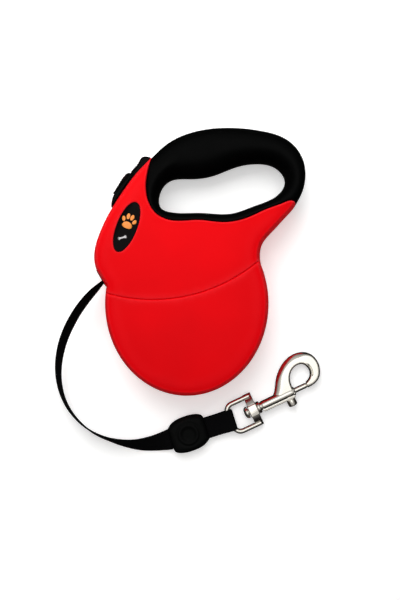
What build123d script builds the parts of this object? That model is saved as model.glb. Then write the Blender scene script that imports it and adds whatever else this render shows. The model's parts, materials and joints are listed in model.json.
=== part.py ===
"""Retractable tape leash: moulded casing with a hand loop, sprung reel, brake, tape and bolt snap.

Frame: the leash lies on its rear face. Origin on that face at the reel's axis. +Z is the reel's
axis and the casing's thickness, +Y runs from the reel to the hand grip, millimetres.
"""

import math
import os

from build123d import *

os.makedirs("parts", exist_ok=True)

# Casing
THICKNESS = 34.0
MID_Z = THICKNESS / 2
WALL = 2.4
FACE_WALL = 2.6
EDGE_ROUND = 6.5
DRUM_CENTRE = (0.0, 3.0)
DRUM_X_RADIUS = 54.6
DRUM_Y_RADIUS = 61.6
DRUM_START_DEG = 169.5
DRUM_ARC_DEG = 213.5
GRIP_SKIN = 3.0
GRIP_ROUND = 5.0
GRIP_Z = (0.4, THICKNESS - 0.4)
CORE_Z = (3.0, THICKNESS - 3.0)
FACE_INSET = 5.0
BOSS_HEIGHT = 6.2

# Outlines, running round the casing
NECK = [(50.6, 43.0), (56.3, 50.1), (66.4, 61.0)]
RIGHT_TIP = (73.6, 70.0)
LEFT_TIP = (-24.2, 100.7)
SEAM = [
    (64.7, 69.9),
    (53.4, 65.6),
    (40.0, 59.6),
    (24.0, 56.6),
    (8.0, 58.0),
    (-10.0, 57.8),
    (-20.6, 62.6),
    (-26.4, 72.0),
    (-27.6, 84.0),
]
NOSE = [(-42.7, 80.0), (-51.5, 65.5), (-58.8, 48.6), (-61.9, 34.0)]
MOUTH_TOP = (-60.4, 25.7)
GRIP_BACK = [
    (-14.0, 109.2),
    (3.0, 117.4),
    (26.0, 120.6),
    (50.0, 118.5),
    (68.0, 112.0),
    (77.6, 99.6),
    (79.4, 89.0),
    (77.2, 77.5),
]
HOLE = [
    (-18.8, 76.0),
    (-12.0, 86.0),
    (3.1, 87.7),
    (19.3, 90.3),
    (33.0, 95.6),
    (49.0, 98.0),
    (60.5, 95.0),
    (66.6, 86.0),
    (61.5, 76.5),
    (45.0, 68.6),
    (30.0, 63.6),
    (10.0, 64.0),
    (-10.0, 64.4),
    (-17.4, 67.4),
]

# Reel and spring
REEL_Z = (7.2, 26.8)
FLANGE = 1.6
FLANGE_RADIUS = 49.0
HUB_RADIUS = 24.0
HUB_INNER = 20.5
AXLE_RADIUS = 4.0
FIT = 0.06
RATCHET_RADIUS = 46.0
RATCHET_ROOT = 40.0
RATCHET_Z = (REEL_Z[1], 30.8)
RATCHET_TEETH = 12
SPRING_TURNS = 7
SPRING_STRIP = 0.5
SPRING_START = 5.2
SPRING_PITCH = 2.1

# Tape
TAPE_WIDTH = 15.0
TAPE_THICK = 1.0
TAPE_LENGTH = 5000.0
TAPE_Z = (MID_Z - TAPE_WIDTH / 2, MID_Z + TAPE_WIDTH / 2)
WOUND_RADIUS = math.sqrt(HUB_RADIUS**2 + TAPE_LENGTH * TAPE_THICK / math.pi)
EXIT = (-57.0, 17.8, MID_Z)
CHAIN_Z = 4.4
STRIP_THICK = 1.5
# Free tape in plan, from the mouth to the end cover; it stands on edge up to EDGE_POINTS
ROUTE_PLAN = [
    EXIT[:2],
    (-66.0, 9.4),
    (-77.5, -6.0),
    (-86.5, -25.5),
    (-89.4, -48.0),
    (-83.4, -69.5),
    (-67.5, -86.0),
    (-46.5, -93.6),
    (-26.5, -95.2),
    (-11.5, -91.2),
]
EDGE_POINTS = 8
LANDING_Y = -69.5
# The tape leaves the roll on a tangent that ends at the exit
LEAD_OFFSET = WOUND_RADIUS + 0.3 + TAPE_THICK / 2
EXIT_DISTANCE = math.hypot(*EXIT[:2])
LEAD_LENGTH = math.sqrt(EXIT_DISTANCE**2 - LEAD_OFFSET**2) - 1.0
LEAD_DEG = math.degrees(math.atan2(EXIT[1], EXIT[0]) + math.asin(LEAD_OFFSET / EXIT_DISTANCE))
LEAD_DIRECTION = (math.cos(math.radians(LEAD_DEG)), math.sin(math.radians(LEAD_DEG)))
LEAD_PIN = 1.0
LEAD_PIN_BACK = 9.0

# Brake: the button's travel, and the flat rail that the lock slides on
BRAKE_DIRECTION = (0.5, -math.sqrt(0.75))
BRAKE_TRAVEL = 4.0
BRAKE_GAP = 0.9
RAIL_START = (-38.0, 90.8)
RAIL_END = (-49.2, 76.2)
BUTTON_WIDTH = 14.0
PAWL_Z = (27.4, 30.6)
BUTTON_DEPTH = 9.0
BUTTON_REACH = 33.4
PIN_OUT = (12.0, 22.0)
GUIDE_PIN = 1.2
# Room inside the shells for the brake's return spring and for the lock's foot
SPRING_SIDE = 8.5
SPRING_SEAT_OUT = 19.2
RIB_THICK = 2.0
FOOT_THICK = 4.0
POCKET_SIDE = (4.6, 12.0)
POCKET_HALF_HEIGHT = 4.0
LOCK_FOOT_HALF = 8.5
LOCK_CHANNEL = ((3.5, 15.0), (-10.7, -4.5))
LOCK_LEDGE = ((11.0, 14.5), (-8.4, -6.9))

# End cover and snap, each on its own line along the floor
COVER_CENTRE = (0.9, -87.3, CHAIN_Z)
COVER_DEG = 17.5
COVER_HALF_LENGTH = 13.0
BAR_CENTRE = (30.2, -78.1, CHAIN_Z)
SNAP_DEG = 25.0
WIRE_RADIUS = 1.75
LOOP_HALF_WIDTH = 10.2
PLATE_X = (17.8, 20.0)
STEM_RADIUS = 2.1
COVER_HALF_WIDTH = 12.2
COVER_END_HALF = 7.8
PLATE_HEIGHT = 7.2
COLLAR_X = 15.3
FLANGE_X = (20.4, 22.6)
BARREL_RADIUS = 3.4
BARREL_END = 48.4
CHAMBER_X = (25.0, 46.2)
CHAMBER_RADIUS = 2.3
PISTON_X = (38.0, 45.8)
BOLT_END = 59.3
KNOB_X = 43.8
KNOB_STEM = 1.2
HOOK_THICK = 5.2
BOLT_RADIUS = 1.65
BOLT_TRAVEL = 8.5

SCREWS = [(0.0, -53.3), (43.4, 40.0), (-53.6, 38.0), (14.0, 52.8), (61.6, 63.0)]
SCREW_BOSS = 3.2
SCREW_SHANK = 1.2
SCREW_HEAD = 2.2
SCREW_SEAT = 4.6
AXLE_BOSS = 7.0
AXLE_END = 3.0
BUTTON_SLOT = BUTTON_WIDTH + 0.8
MOUTH_SIZE = (12.4, 21.4)
OUTLINE_POINTS = 64
SPRING_Z = (REEL_Z[0] + FLANGE + 0.4, REEL_Z[1] - FLANGE - 0.4)
HUB_ANCHOR = 22.4
ANCHOR_RADIUS = 1.2

# Face details
BADGE = (6.7, 17.3)
BADGE_CENTRE = (-39.4, 53.4)
BADGE_DEG = -21.5
BADGE_SEAT = 1.0
BADGE_THICK = 1.5
GROOVE_CENTRE = (-22.5, 113.9)
GROOVE_RADIUS = 108.4
GROOVE_WIDTH = 0.7
GROOVE_DEPTH = 0.5
MOUTH_LOW = (
    DRUM_CENTRE[0] + DRUM_X_RADIUS * math.cos(math.radians(DRUM_START_DEG)),
    DRUM_CENTRE[1] + DRUM_Y_RADIUS * math.sin(math.radians(DRUM_START_DEG)),
)


def turned(degrees):
    """The unit vector at an angle from +X."""
    return (math.cos(math.radians(degrees)), math.sin(math.radians(degrees)))


def rail_point(along, out):
    """A point in plan, measured along the lock's rail from its rear end, and out from it."""
    run = (RAIL_END[0] - RAIL_START[0], RAIL_END[1] - RAIL_START[1])
    size = math.hypot(*run)
    ux, uy = run[0] / size, run[1] / size
    return (RAIL_START[0] + ux * along + uy * out, RAIL_START[1] + uy * along - ux * out)


def rail_box(along, out):
    """The corners of a rectangle in the rail's directions."""
    a, b = along
    c, d = out
    return [rail_point(a, c), rail_point(b, c), rail_point(b, d), rail_point(a, d)]


def brake_point(out, side):
    """A point in plan on the brake's line: out from the pawl's tip, and to the side."""
    ux, uy = BRAKE_DIRECTION
    tip = RATCHET_RADIUS + BRAKE_GAP + out
    return (-ux * tip - uy * side, -uy * tip + ux * side)


def brake_box(out, side):
    """The corners of a rectangle in the brake's directions."""
    a, b = out
    c, d = side
    return [brake_point(a, c), brake_point(b, c), brake_point(b, d), brake_point(a, d)]


def lead_point(back, side):
    """A point in plan on the tape's line inside the casing: back from the exit, and to the side."""
    ux, uy = LEAD_DIRECTION
    return (EXIT[0] - ux * back - uy * side, EXIT[1] - uy * back + ux * side)


def level(z):
    return Plane.XY.offset(z)


cover_plane = Plane(origin=COVER_CENTRE, x_dir=(*turned(COVER_DEG), 0), z_dir=(0, 0, 1))
snap_plane = Plane(origin=BAR_CENTRE, x_dir=(*turned(SNAP_DEG), 0), z_dir=(0, 0, 1))
mouth_run = (MOUTH_TOP[0] - MOUTH_LOW[0], MOUTH_TOP[1] - MOUTH_LOW[1])
mouth_size = math.hypot(*mouth_run)
mouth_along = (mouth_run[0] / mouth_size, mouth_run[1] / mouth_size)
mouth_plane = Plane(
    origin=((MOUTH_TOP[0] + MOUTH_LOW[0]) / 2, (MOUTH_TOP[1] + MOUTH_LOW[1]) / 2, MID_Z),
    x_dir=(*mouth_along, 0),
    z_dir=(-mouth_along[1], mouth_along[0], 0),
)


badge_place = Location((*BADGE_CENTRE, 0), (0, 0, BADGE_DEG))


def body_face():
    """The red body in plan: oval drum, neck, nose, and the seam with the grip."""
    with BuildSketch() as face:
        with BuildLine():
            drum = EllipticalCenterArc(
                DRUM_CENTRE,
                DRUM_X_RADIUS,
                DRUM_Y_RADIUS,
                DRUM_START_DEG,
                arc_size=DRUM_ARC_DEG,
            )
            neck = Spline(drum @ 1, *NECK, RIGHT_TIP, tangents=(drum % 1, (0.55, 0.84)))
            seam = Spline(neck @ 1, *SEAM, LEFT_TIP, tangents=((-1, 0.25), (0.25, 1)))
            nose = Spline(seam @ 1, *NOSE, MOUTH_TOP, tangents=((-0.7, -0.7), (0.35, -1)))
            Line(nose @ 1, drum @ 0)
        make_face()
    return face.sketch


def grip_face():
    """The rubber ring in plan, with the finger hole."""
    with BuildSketch() as face:
        with BuildLine():
            back = Spline(LEFT_TIP, *GRIP_BACK, RIGHT_TIP, tangents=((0.7, 0.7), (-0.5, -0.86)))
            Spline(back @ 1, *SEAM, LEFT_TIP, tangents=((-1, 0.25), (0.25, 1)))
        make_face()
        with BuildLine():
            Spline(*HOLE, periodic=True)
        make_face(mode=Mode.SUBTRACT)
    return face.sketch


def hole_face():
    """The finger hole in plan."""
    with BuildSketch() as face:
        with BuildLine():
            Spline(*HOLE, periodic=True)
        make_face()
    return face.sketch


def redrawn(outline, count):
    """A face inside one spline through evenly spaced points of a wire."""
    with BuildSketch() as face:
        with BuildLine():
            Spline(*[outline @ (i / count) for i in range(count)], periodic=True)
        make_face()
    return face.sketch


def inset(face, amount, count=OUTLINE_POINTS):
    """A face drawn in by an amount all round, or out where the amount is negative."""
    with BuildSketch() as drawn:
        add(face)
        offset(amount=-amount)
    return redrawn(drawn.faces()[0].outer_wire(), count)


def core_face():
    """The rigid ring inside the rubber, clear of its outside and of the hole."""
    with BuildSketch() as whole:
        add(body)
        add(grip)
        add(hole)
    with BuildSketch() as ring:
        add(inset(whole.sketch, GRIP_SKIN))
        add(inset(hole, -GRIP_SKIN), mode=Mode.SUBTRACT)
    return ring.sketch


def all_but_seam(face):
    """A face's edges without the one along the seam."""
    seam_point = (*SEAM[3], face.center().Z)
    return face.edges().sort_by_distance(seam_point)[1:]


def button_slot():
    """What the button sweeps through, in plan, with clearance."""
    points = [
        (-22.8, 95.4),
        (-31.0, 85.2),
        (-34.0, 78.0),
        (-44.0, 60.5),
        (-47.4, 61.9),
        (-51.4, 65.0),
        (-54.5, 67.5),
        (-54.5, 90.0),
        (-40.0, 106.0),
        (-22.0, 106.0),
    ]
    with BuildSketch() as face:
        with BuildLine():
            Polyline(*points, close=True)
        make_face()
    return face.sketch


def quad(points):
    """A sketch face with the given corners."""
    with BuildSketch() as face:
        with BuildLine():
            Polyline(*points, close=True)
        make_face()
    return face.sketch


def block(face, start, end):
    """A prism over a plan face from one height to another."""
    with BuildPart() as prism:
        with BuildSketch(level(start)):
            add(face)
        extrude(amount=end - start)
    return prism.part


def half_shell(outer_z, inner_z, ledge_z):
    """One moulded half: walls, the grip's core, bosses, lock ledge and the button's slot."""
    side = math.copysign(1, outer_z - MID_Z)
    step_z = outer_z - side * (EDGE_ROUND + 0.5)
    core_z = CORE_Z[1] if side > 0 else CORE_Z[0]
    boss_z = outer_z - side * BOSS_HEIGHT
    rib = brake_box((SPRING_SEAT_OUT - RIB_THICK, SPRING_SEAT_OUT), POCKET_SIDE)
    pocket = brake_box((SPRING_SEAT_OUT, BUTTON_REACH + 0.6), POCKET_SIDE)
    channel_z = MID_Z + side * (LOCK_FOOT_HALF + 0.4)
    with BuildPart() as shell:
        add(block(body, MID_Z, outer_z))
        outside = shell.faces().sort_by(Axis.Z)[-1 if side > 0 else 0]
        fillet(all_but_seam(outside), EDGE_ROUND)
        add(block(core, MID_Z, core_z))
        add(block(inset(body, WALL), MID_Z, step_z), mode=Mode.SUBTRACT)
        add(block(inset(body, FACE_INSET), MID_Z, inner_z), mode=Mode.SUBTRACT)
        add(block(quad(rib), MID_Z, inner_z))
        add(block(quad(pocket), MID_Z, MID_Z + side * POCKET_HALF_HEIGHT), mode=Mode.SUBTRACT)
        add(block(quad(rail_box(*LOCK_CHANNEL)), MID_Z, channel_z), mode=Mode.SUBTRACT)
        with BuildSketch(level(MID_Z)):
            with Locations(*SCREWS):
                Circle(SCREW_BOSS)
        extrude(amount=inner_z - MID_Z)
        with BuildSketch(level(boss_z)):
            Circle(AXLE_BOSS)
        extrude(amount=inner_z - boss_z)
        with BuildSketch(level(boss_z)):
            Circle(AXLE_END)
        extrude(amount=inner_z - boss_z, mode=Mode.SUBTRACT)
        add(block(quad(rail_box(*LOCK_LEDGE)), ledge_z, inner_z))
        add(block(slot, MID_Z - BUTTON_SLOT / 2, MID_Z + BUTTON_SLOT / 2), mode=Mode.SUBTRACT)
        with BuildSketch(mouth_plane.offset(-5)):
            Rectangle(MOUTH_SIZE[0], MOUTH_SIZE[1])
        extrude(amount=8, mode=Mode.SUBTRACT)
    return shell.part


def make_front_shell():
    with BuildPart() as front_shell:
        add(half_shell(THICKNESS, THICKNESS - FACE_WALL, MID_Z + BUTTON_SLOT / 2))
        with BuildSketch(level(MID_Z)):
            with Locations(*SCREWS):
                Circle(SCREW_SHANK)
        extrude(amount=10.5, mode=Mode.SUBTRACT)
        with BuildSketch(level(THICKNESS - GROOVE_DEPTH)):
            with Locations(GROOVE_CENTRE):
                Circle(GROOVE_RADIUS + GROOVE_WIDTH / 2)
                Circle(GROOVE_RADIUS - GROOVE_WIDTH / 2, mode=Mode.SUBTRACT)
        extrude(amount=GROOVE_DEPTH, mode=Mode.SUBTRACT)
        with BuildSketch(level(THICKNESS)):
            with Locations(badge_place):
                Ellipse(BADGE[0] + 0.1, BADGE[1] + 0.1)
        extrude(amount=-BADGE_SEAT, mode=Mode.SUBTRACT)
    front_shell.part.label = "front_shell"
    export_step(front_shell.part, "parts/front_shell.step")


def make_rear_shell():
    with BuildPart() as rear_shell:
        add(half_shell(0.0, FACE_WALL, MID_Z - BUTTON_SLOT / 2))
        with BuildSketch(level(0)):
            with Locations(*SCREWS):
                Circle(SCREW_SHANK + 0.15)
        extrude(amount=MID_Z, mode=Mode.SUBTRACT)
        with BuildSketch(level(0)):
            with Locations(*SCREWS):
                Circle(SCREW_HEAD + 0.2)
        extrude(amount=SCREW_SEAT, mode=Mode.SUBTRACT)
        with BuildSketch(level(0)):
            with Locations(badge_place):
                Ellipse(BADGE[0] + 0.1, BADGE[1] + 0.1)
        extrude(amount=BADGE_SEAT, mode=Mode.SUBTRACT)
    rear_shell.part.label = "rear_shell"
    export_step(rear_shell.part, "parts/rear_shell.step")


def half_grip(outer_z):
    """One half of the rubber ring, hollow over the core."""
    upward = outer_z > MID_Z
    with BuildPart() as ring:
        add(block(grip, MID_Z, outer_z))
        outside = ring.faces().sort_by(Axis.Z)[-1 if upward else 0]
        fillet(all_but_seam(outside), GRIP_ROUND)
        add(block(core, *CORE_Z), mode=Mode.SUBTRACT)
        add(block(slot, MID_Z - BUTTON_SLOT / 2, MID_Z + BUTTON_SLOT / 2), mode=Mode.SUBTRACT)
    return ring.part


def make_grips():
    with BuildPart() as front_grip:
        add(half_grip(GRIP_Z[1]))
    front_grip.part.label = "front_grip"
    export_step(front_grip.part, "parts/front_grip.step")
    with BuildPart() as rear_grip:
        add(half_grip(GRIP_Z[0]))
    rear_grip.part.label = "rear_grip"
    export_step(rear_grip.part, "parts/rear_grip.step")


def make_badges():
    with BuildPart() as front_badge:
        with BuildSketch(level(THICKNESS - BADGE_SEAT)):
            with Locations(badge_place):
                Ellipse(*BADGE)
        extrude(amount=BADGE_THICK)
        fillet(front_badge.faces().sort_by(Axis.Z)[-1].edges(), 0.3)
    front_badge.part.label = "front_badge"
    export_step(front_badge.part, "parts/front_badge.step")
    with BuildPart() as rear_badge:
        with BuildSketch(level(BADGE_SEAT)):
            with Locations(badge_place):
                Ellipse(*BADGE)
        extrude(amount=-BADGE_SEAT + 0.1)
    rear_badge.part.label = "rear_badge"
    export_step(rear_badge.part, "parts/rear_badge.step")


def make_casing_screws():
    with BuildPart() as casing_screws:
        with BuildSketch(level(SCREW_SEAT - 2.0)):
            with Locations(*SCREWS):
                Circle(SCREW_HEAD)
        extrude(amount=2.0)
        with BuildSketch(level(SCREW_SEAT)):
            with Locations(*SCREWS):
                Circle(SCREW_SHANK)
        extrude(amount=MID_Z + 9.5 - SCREW_SEAT)
        with BuildSketch(level(SCREW_SEAT - 2.0)):
            with Locations(*SCREWS):
                Rectangle(2.8, 0.7)
                Rectangle(0.7, 2.8)
        extrude(amount=1.0, mode=Mode.SUBTRACT)
    casing_screws.part.label = "casing_screws"
    export_step(casing_screws.part, "parts/casing_screws.step")


def make_axle():
    with BuildPart() as axle:
        with BuildSketch(level(FACE_WALL)):
            Circle(AXLE_END)
        extrude(amount=THICKNESS - 2 * FACE_WALL)
        with BuildSketch(level(REEL_Z[0] - 1.0)):
            Circle(AXLE_RADIUS)
        extrude(amount=REEL_Z[1] - REEL_Z[0] + 2.0)
        with BuildSketch(level(SPRING_Z[0] - 0.2)):
            with Locations((AXLE_RADIUS / 2, 0)):
                Rectangle(AXLE_RADIUS + 1, 0.8)
        extrude(amount=SPRING_Z[1] - SPRING_Z[0] + 0.4, mode=Mode.SUBTRACT)
    axle.part.label = "axle"
    export_step(axle.part, "parts/axle.step")
    with BuildPart() as reel_washers:
        for low in (REEL_Z[0] - 0.9, REEL_Z[1] + 0.1):
            with BuildSketch(level(low)):
                Circle(8.0)
                Circle(AXLE_RADIUS + 0.05, mode=Mode.SUBTRACT)
            extrude(amount=0.8)
    reel_washers.part.label = "reel_washers"
    export_step(reel_washers.part, "parts/reel_washers.step")


def make_reel():
    with BuildPart() as reel:
        with BuildSketch(level(REEL_Z[0])):
            Circle(FLANGE_RADIUS)
            Circle(AXLE_RADIUS + FIT, mode=Mode.SUBTRACT)
        extrude(amount=FLANGE)
        with BuildSketch(level(REEL_Z[0])):
            Circle(HUB_RADIUS)
            Circle(HUB_INNER, mode=Mode.SUBTRACT)
        extrude(amount=REEL_Z[1] - REEL_Z[0])
        with BuildSketch(level(REEL_Z[0])):
            with PolarLocations((HUB_RADIUS + FLANGE_RADIUS) / 2, 8):
                Circle(7.0)
        extrude(amount=FLANGE, mode=Mode.SUBTRACT)
        with BuildSketch(level(TAPE_Z[0] - 0.3)):
            with Locations((HUB_ANCHOR, 0)):
                Circle(ANCHOR_RADIUS)
            with Locations((HUB_RADIUS, 0)):
                Rectangle(3.0, 1.3)
        extrude(amount=TAPE_WIDTH + 0.6, mode=Mode.SUBTRACT)
    reel.part.label = "reel"
    export_step(reel.part, "parts/reel.step")


def make_reel_flange():
    tooth_deg = 360 / RATCHET_TEETH
    with BuildPart() as reel_flange:
        with BuildSketch(level(REEL_Z[1] - FLANGE)):
            Circle(FLANGE_RADIUS)
            Circle(HUB_RADIUS, mode=Mode.SUBTRACT)
        extrude(amount=FLANGE)
        with BuildSketch(level(RATCHET_Z[0])):
            Circle(RATCHET_ROOT)
            Circle(RATCHET_ROOT - 2.5, mode=Mode.SUBTRACT)
        extrude(amount=RATCHET_Z[1] - RATCHET_Z[0])
        with BuildSketch(level(RATCHET_Z[0])):
            with PolarLocations(0, RATCHET_TEETH, start_angle=tooth_deg / 2):
                with BuildLine():
                    Polyline(
                        (RATCHET_ROOT - 1, -5.0),
                        (RATCHET_RADIUS - 0.4, -4.2),
                        (RATCHET_RADIUS - 0.4, 4.2),
                        (RATCHET_ROOT - 1, 5.0),
                        close=True,
                    )
                make_face()
        extrude(amount=RATCHET_Z[1] - RATCHET_Z[0])
    reel_flange.part.label = "reel_flange"
    export_step(reel_flange.part, "parts/reel_flange.step")


def make_spring_cover():
    with BuildPart() as spring_cover:
        with BuildSketch(level(REEL_Z[1] - FLANGE)):
            Circle(HUB_INNER)
            Circle(AXLE_RADIUS + FIT, mode=Mode.SUBTRACT)
            with PolarLocations(12.5, 6):
                Circle(3.0, mode=Mode.SUBTRACT)
        extrude(amount=FLANGE)
    spring_cover.part.label = "spring_cover"
    export_step(spring_cover.part, "parts/spring_cover.step")


def make_power_spring():
    """Flat steel strip, wound in half turns whose centres step from side to side."""
    with BuildPart() as power_spring:
        for turn in range(2 * SPRING_TURNS):
            radius = SPRING_START + turn * SPRING_PITCH / 2
            centre = 0.0 if turn % 2 == 0 else -SPRING_PITCH / 2
            start = 0.0 if turn % 2 == 0 else 180.0
            with BuildSketch(level(SPRING_Z[0])):
                with BuildLine():
                    outer = CenterArc((centre, 0), radius + SPRING_STRIP / 2, start, 180)
                    inner = CenterArc((centre, 0), radius - SPRING_STRIP / 2, start, 180)
                    Line(outer @ 0, inner @ 0)
                    Line(outer @ 1, inner @ 1)
                make_face()
            extrude(amount=SPRING_Z[1] - SPRING_Z[0])
        with BuildSketch(level(SPRING_Z[0])):
            with Locations((SPRING_START - 1.6, 0.15)):
                Rectangle(3.7, SPRING_STRIP)
        extrude(amount=SPRING_Z[1] - SPRING_Z[0])
    power_spring.part.label = "power_spring"
    export_step(power_spring.part, "parts/power_spring.step")


def make_wound_tape():
    with BuildPart() as wound_tape:
        with BuildSketch(level(TAPE_Z[0])):
            Circle(WOUND_RADIUS)
            Circle(HUB_RADIUS, mode=Mode.SUBTRACT)
        extrude(amount=TAPE_WIDTH)
    wound_tape.part.label = "wound_tape"
    export_step(wound_tape.part, "parts/wound_tape.step")
    with BuildPart() as tape_anchor_pin:
        with BuildSketch(level(TAPE_Z[0])):
            with Locations((HUB_ANCHOR, 0)):
                Circle(ANCHOR_RADIUS)
        extrude(amount=TAPE_WIDTH)
    tape_anchor_pin.part.label = "tape_anchor_pin"
    export_step(tape_anchor_pin.part, "parts/tape_anchor_pin.step")


def make_mouth():
    """The tape's outlet: a plate with a slot, and two guide pins behind it."""
    with BuildPart() as tape_mouth:
        with BuildSketch(mouth_plane.offset(-4.0)):
            Rectangle(MOUTH_SIZE[0] - 0.2, MOUTH_SIZE[1] - 0.2)
            RectangleRounded(7.6, 17.0, 1.2, mode=Mode.SUBTRACT)
        extrude(amount=4.4)
    tape_mouth.part.label = "tape_mouth"
    export_step(tape_mouth.part, "parts/tape_mouth.step")
    with BuildPart() as guide_pins:
        with BuildSketch(level(FACE_WALL)):
            for side in (-1, 1):
                with Locations(lead_point(LEAD_PIN_BACK, side * (LEAD_PIN + 0.9))):
                    Circle(LEAD_PIN)
        extrude(amount=THICKNESS - 2 * FACE_WALL)
    guide_pins.part.label = "guide_pins"
    export_step(guide_pins.part, "parts/guide_pins.step")


def make_tape_lead():
    """The tape inside the casing, straight from the roll to the mouth."""
    half = TAPE_THICK / 2
    corners = [(0, half), (LEAD_LENGTH, half), (LEAD_LENGTH, -half), (0, -half)]
    with BuildPart() as tape_lead:
        with BuildSketch(level(TAPE_Z[0])):
            add(quad([lead_point(*corner) for corner in corners]))
        extrude(amount=TAPE_WIDTH)
    tape_lead.part.label = "tape_lead"
    export_step(tape_lead.part, "parts/tape_lead.step")


def corner_radii(points):
    """The arc for each corner: 0.45 of its shorter run over the tangent of half its turn."""
    radii = []
    for before, corner, after in zip(points, points[1:], points[2:]):
        first = Vector(*corner) - Vector(*before)
        second = Vector(*after) - Vector(*corner)
        turn = math.radians(first.get_angle(second))
        radii.append(0.45 * min(first.length, second.length) / math.tan(turn / 2))
    return radii


def make_free_tape():
    """The free tape on edge, coming down from the mouth to the floor, then turning flat."""
    on_edge = ROUTE_PLAN[:EDGE_POINTS]
    radii = corner_radii(on_edge)
    fall = (EXIT[2] - TAPE_WIDTH / 2) / (EXIT[1] - LANDING_Y)
    high_y = EXIT[1] + 12
    rise = fall * (high_y - LANDING_Y)
    profile = [
        (-110.0, 0.0),
        (LANDING_Y, 0.0),
        (high_y, rise),
        (high_y, rise + TAPE_WIDTH),
        (LANDING_Y, TAPE_WIDTH),
        (-110.0, TAPE_WIDTH),
    ]
    start = Vector(*on_edge[1]) - Vector(*on_edge[0])
    with BuildPart() as free_tape:
        with BuildLine() as path:
            FilletPolyline(*on_edge, radius=radii)
        with BuildSketch(Plane(on_edge[0], x_dir=(-start.Y, start.X, 0), z_dir=start)):
            Rectangle(STRIP_THICK, 60)
        sweep(path=path.line)
        with BuildSketch(Plane.YZ.offset(-110)):
            add(quad(profile))
        extrude(amount=110, mode=Mode.INTERSECT)
    free_tape.part.label = "free_tape"
    export_step(free_tape.part, "parts/free_tape.step")
    run = path.wires()[0].length
    expected = run * STRIP_THICK * TAPE_WIDTH
    print("tape radii", [round(r) for r in radii], "run", round(run, 1))
    print("strip volume", round(free_tape.part.volume), "of", round(expected))


def make_tape_twist():
    """The stretch where the tape turns from standing to lying, as one straight wedge."""
    end = Vector(*ROUTE_PLAN[EDGE_POINTS - 1])
    before = Vector(*ROUTE_PLAN[EDGE_POINTS - 2])
    out = end - before
    first = Plane(
        (end.X, end.Y, TAPE_WIDTH / 2), x_dir=(-out.Y, out.X, 0), z_dir=(out.X, out.Y, 0)
    )
    along = turned(COVER_DEG)
    last = Plane(
        (*ROUTE_PLAN[-1], CHAIN_Z), x_dir=(-along[1], along[0], 0), z_dir=(*along, 0)
    )
    with BuildPart() as tape_twist:
        with BuildSketch(first):
            Rectangle(STRIP_THICK, TAPE_WIDTH)
        with BuildSketch(last):
            Rectangle(TAPE_WIDTH, STRIP_THICK)
        loft(ruled=True)
    tape_twist.part.label = "tape_twist"
    export_step(tape_twist.part, "parts/tape_twist.step")


def cover_face():
    """The end cover in plan, a barrel."""
    end, bulge = COVER_HALF_LENGTH, COVER_HALF_WIDTH
    with BuildSketch() as face:
        with BuildLine():
            top = ThreePointArc((-end, COVER_END_HALF), (0, bulge), (end, COVER_END_HALF))
            right = Line(top @ 1, (end, -COVER_END_HALF))
            low = ThreePointArc(right @ 1, (0, -bulge), (-end, -COVER_END_HALF))
            Line(low @ 1, top @ 0)
        make_face()
    return face.sketch


def half_cover(upward):
    """One moulding of the end cover, with its half of the tape's slot."""
    side = 1 if upward else -1
    with BuildPart() as half:
        with BuildSketch(cover_plane):
            add(cover_face())
        extrude(amount=side * CHAIN_Z)
        face = half.faces().sort_by(Axis.Z)[-1 if upward else 0]
        fillet(face.edges(), 1.6)
        with BuildSketch(cover_plane):
            Rectangle(2 * COVER_HALF_LENGTH + 2, TAPE_WIDTH + 0.2)
        extrude(amount=side * (TAPE_THICK + 0.05), mode=Mode.SUBTRACT)
        with BuildSketch(cover_plane.offset(side * CHAIN_Z)):
            Circle(6.5)
            Circle(5.7, mode=Mode.SUBTRACT)
        extrude(amount=-side * 0.5, mode=Mode.SUBTRACT)
    return half.part


def make_end_cover():
    with BuildPart() as end_cover_top:
        add(half_cover(True))
    end_cover_top.part.label = "end_cover_top"
    export_step(end_cover_top.part, "parts/end_cover_top.step")
    with BuildPart() as end_cover_bottom:
        add(half_cover(False))
    end_cover_bottom.part.label = "end_cover_bottom"
    export_step(end_cover_bottom.part, "parts/end_cover_bottom.step")


def make_tape_loop():
    """The tape's doubled end, from inside the cover round the swivel's bar."""
    reach = (Vector(*BAR_CENTRE) - Vector(*COVER_CENTRE)).length
    inner = WIRE_RADIUS + 0.3
    bar = Plane(BAR_CENTRE, x_dir=(*turned(SNAP_DEG), 0), z_dir=(*turned(SNAP_DEG + 90), 0))
    with BuildPart() as tape_loop:
        with BuildSketch(cover_plane.offset(-TAPE_THICK)):
            with Locations(((reach - COVER_HALF_LENGTH) / 2 - 0.7, 0)):
                Rectangle(reach + COVER_HALF_LENGTH - 1.4, TAPE_WIDTH)
        extrude(amount=2 * TAPE_THICK)
        with BuildSketch(bar.offset(-TAPE_WIDTH / 2)):
            Circle(inner + TAPE_THICK)
        extrude(amount=TAPE_WIDTH)
        with BuildSketch(bar.offset(-TAPE_WIDTH)):
            Circle(inner)
        extrude(amount=2 * TAPE_WIDTH, mode=Mode.SUBTRACT)
    tape_loop.part.label = "tape_loop"
    export_step(tape_loop.part, "parts/tape_loop.step")


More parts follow.
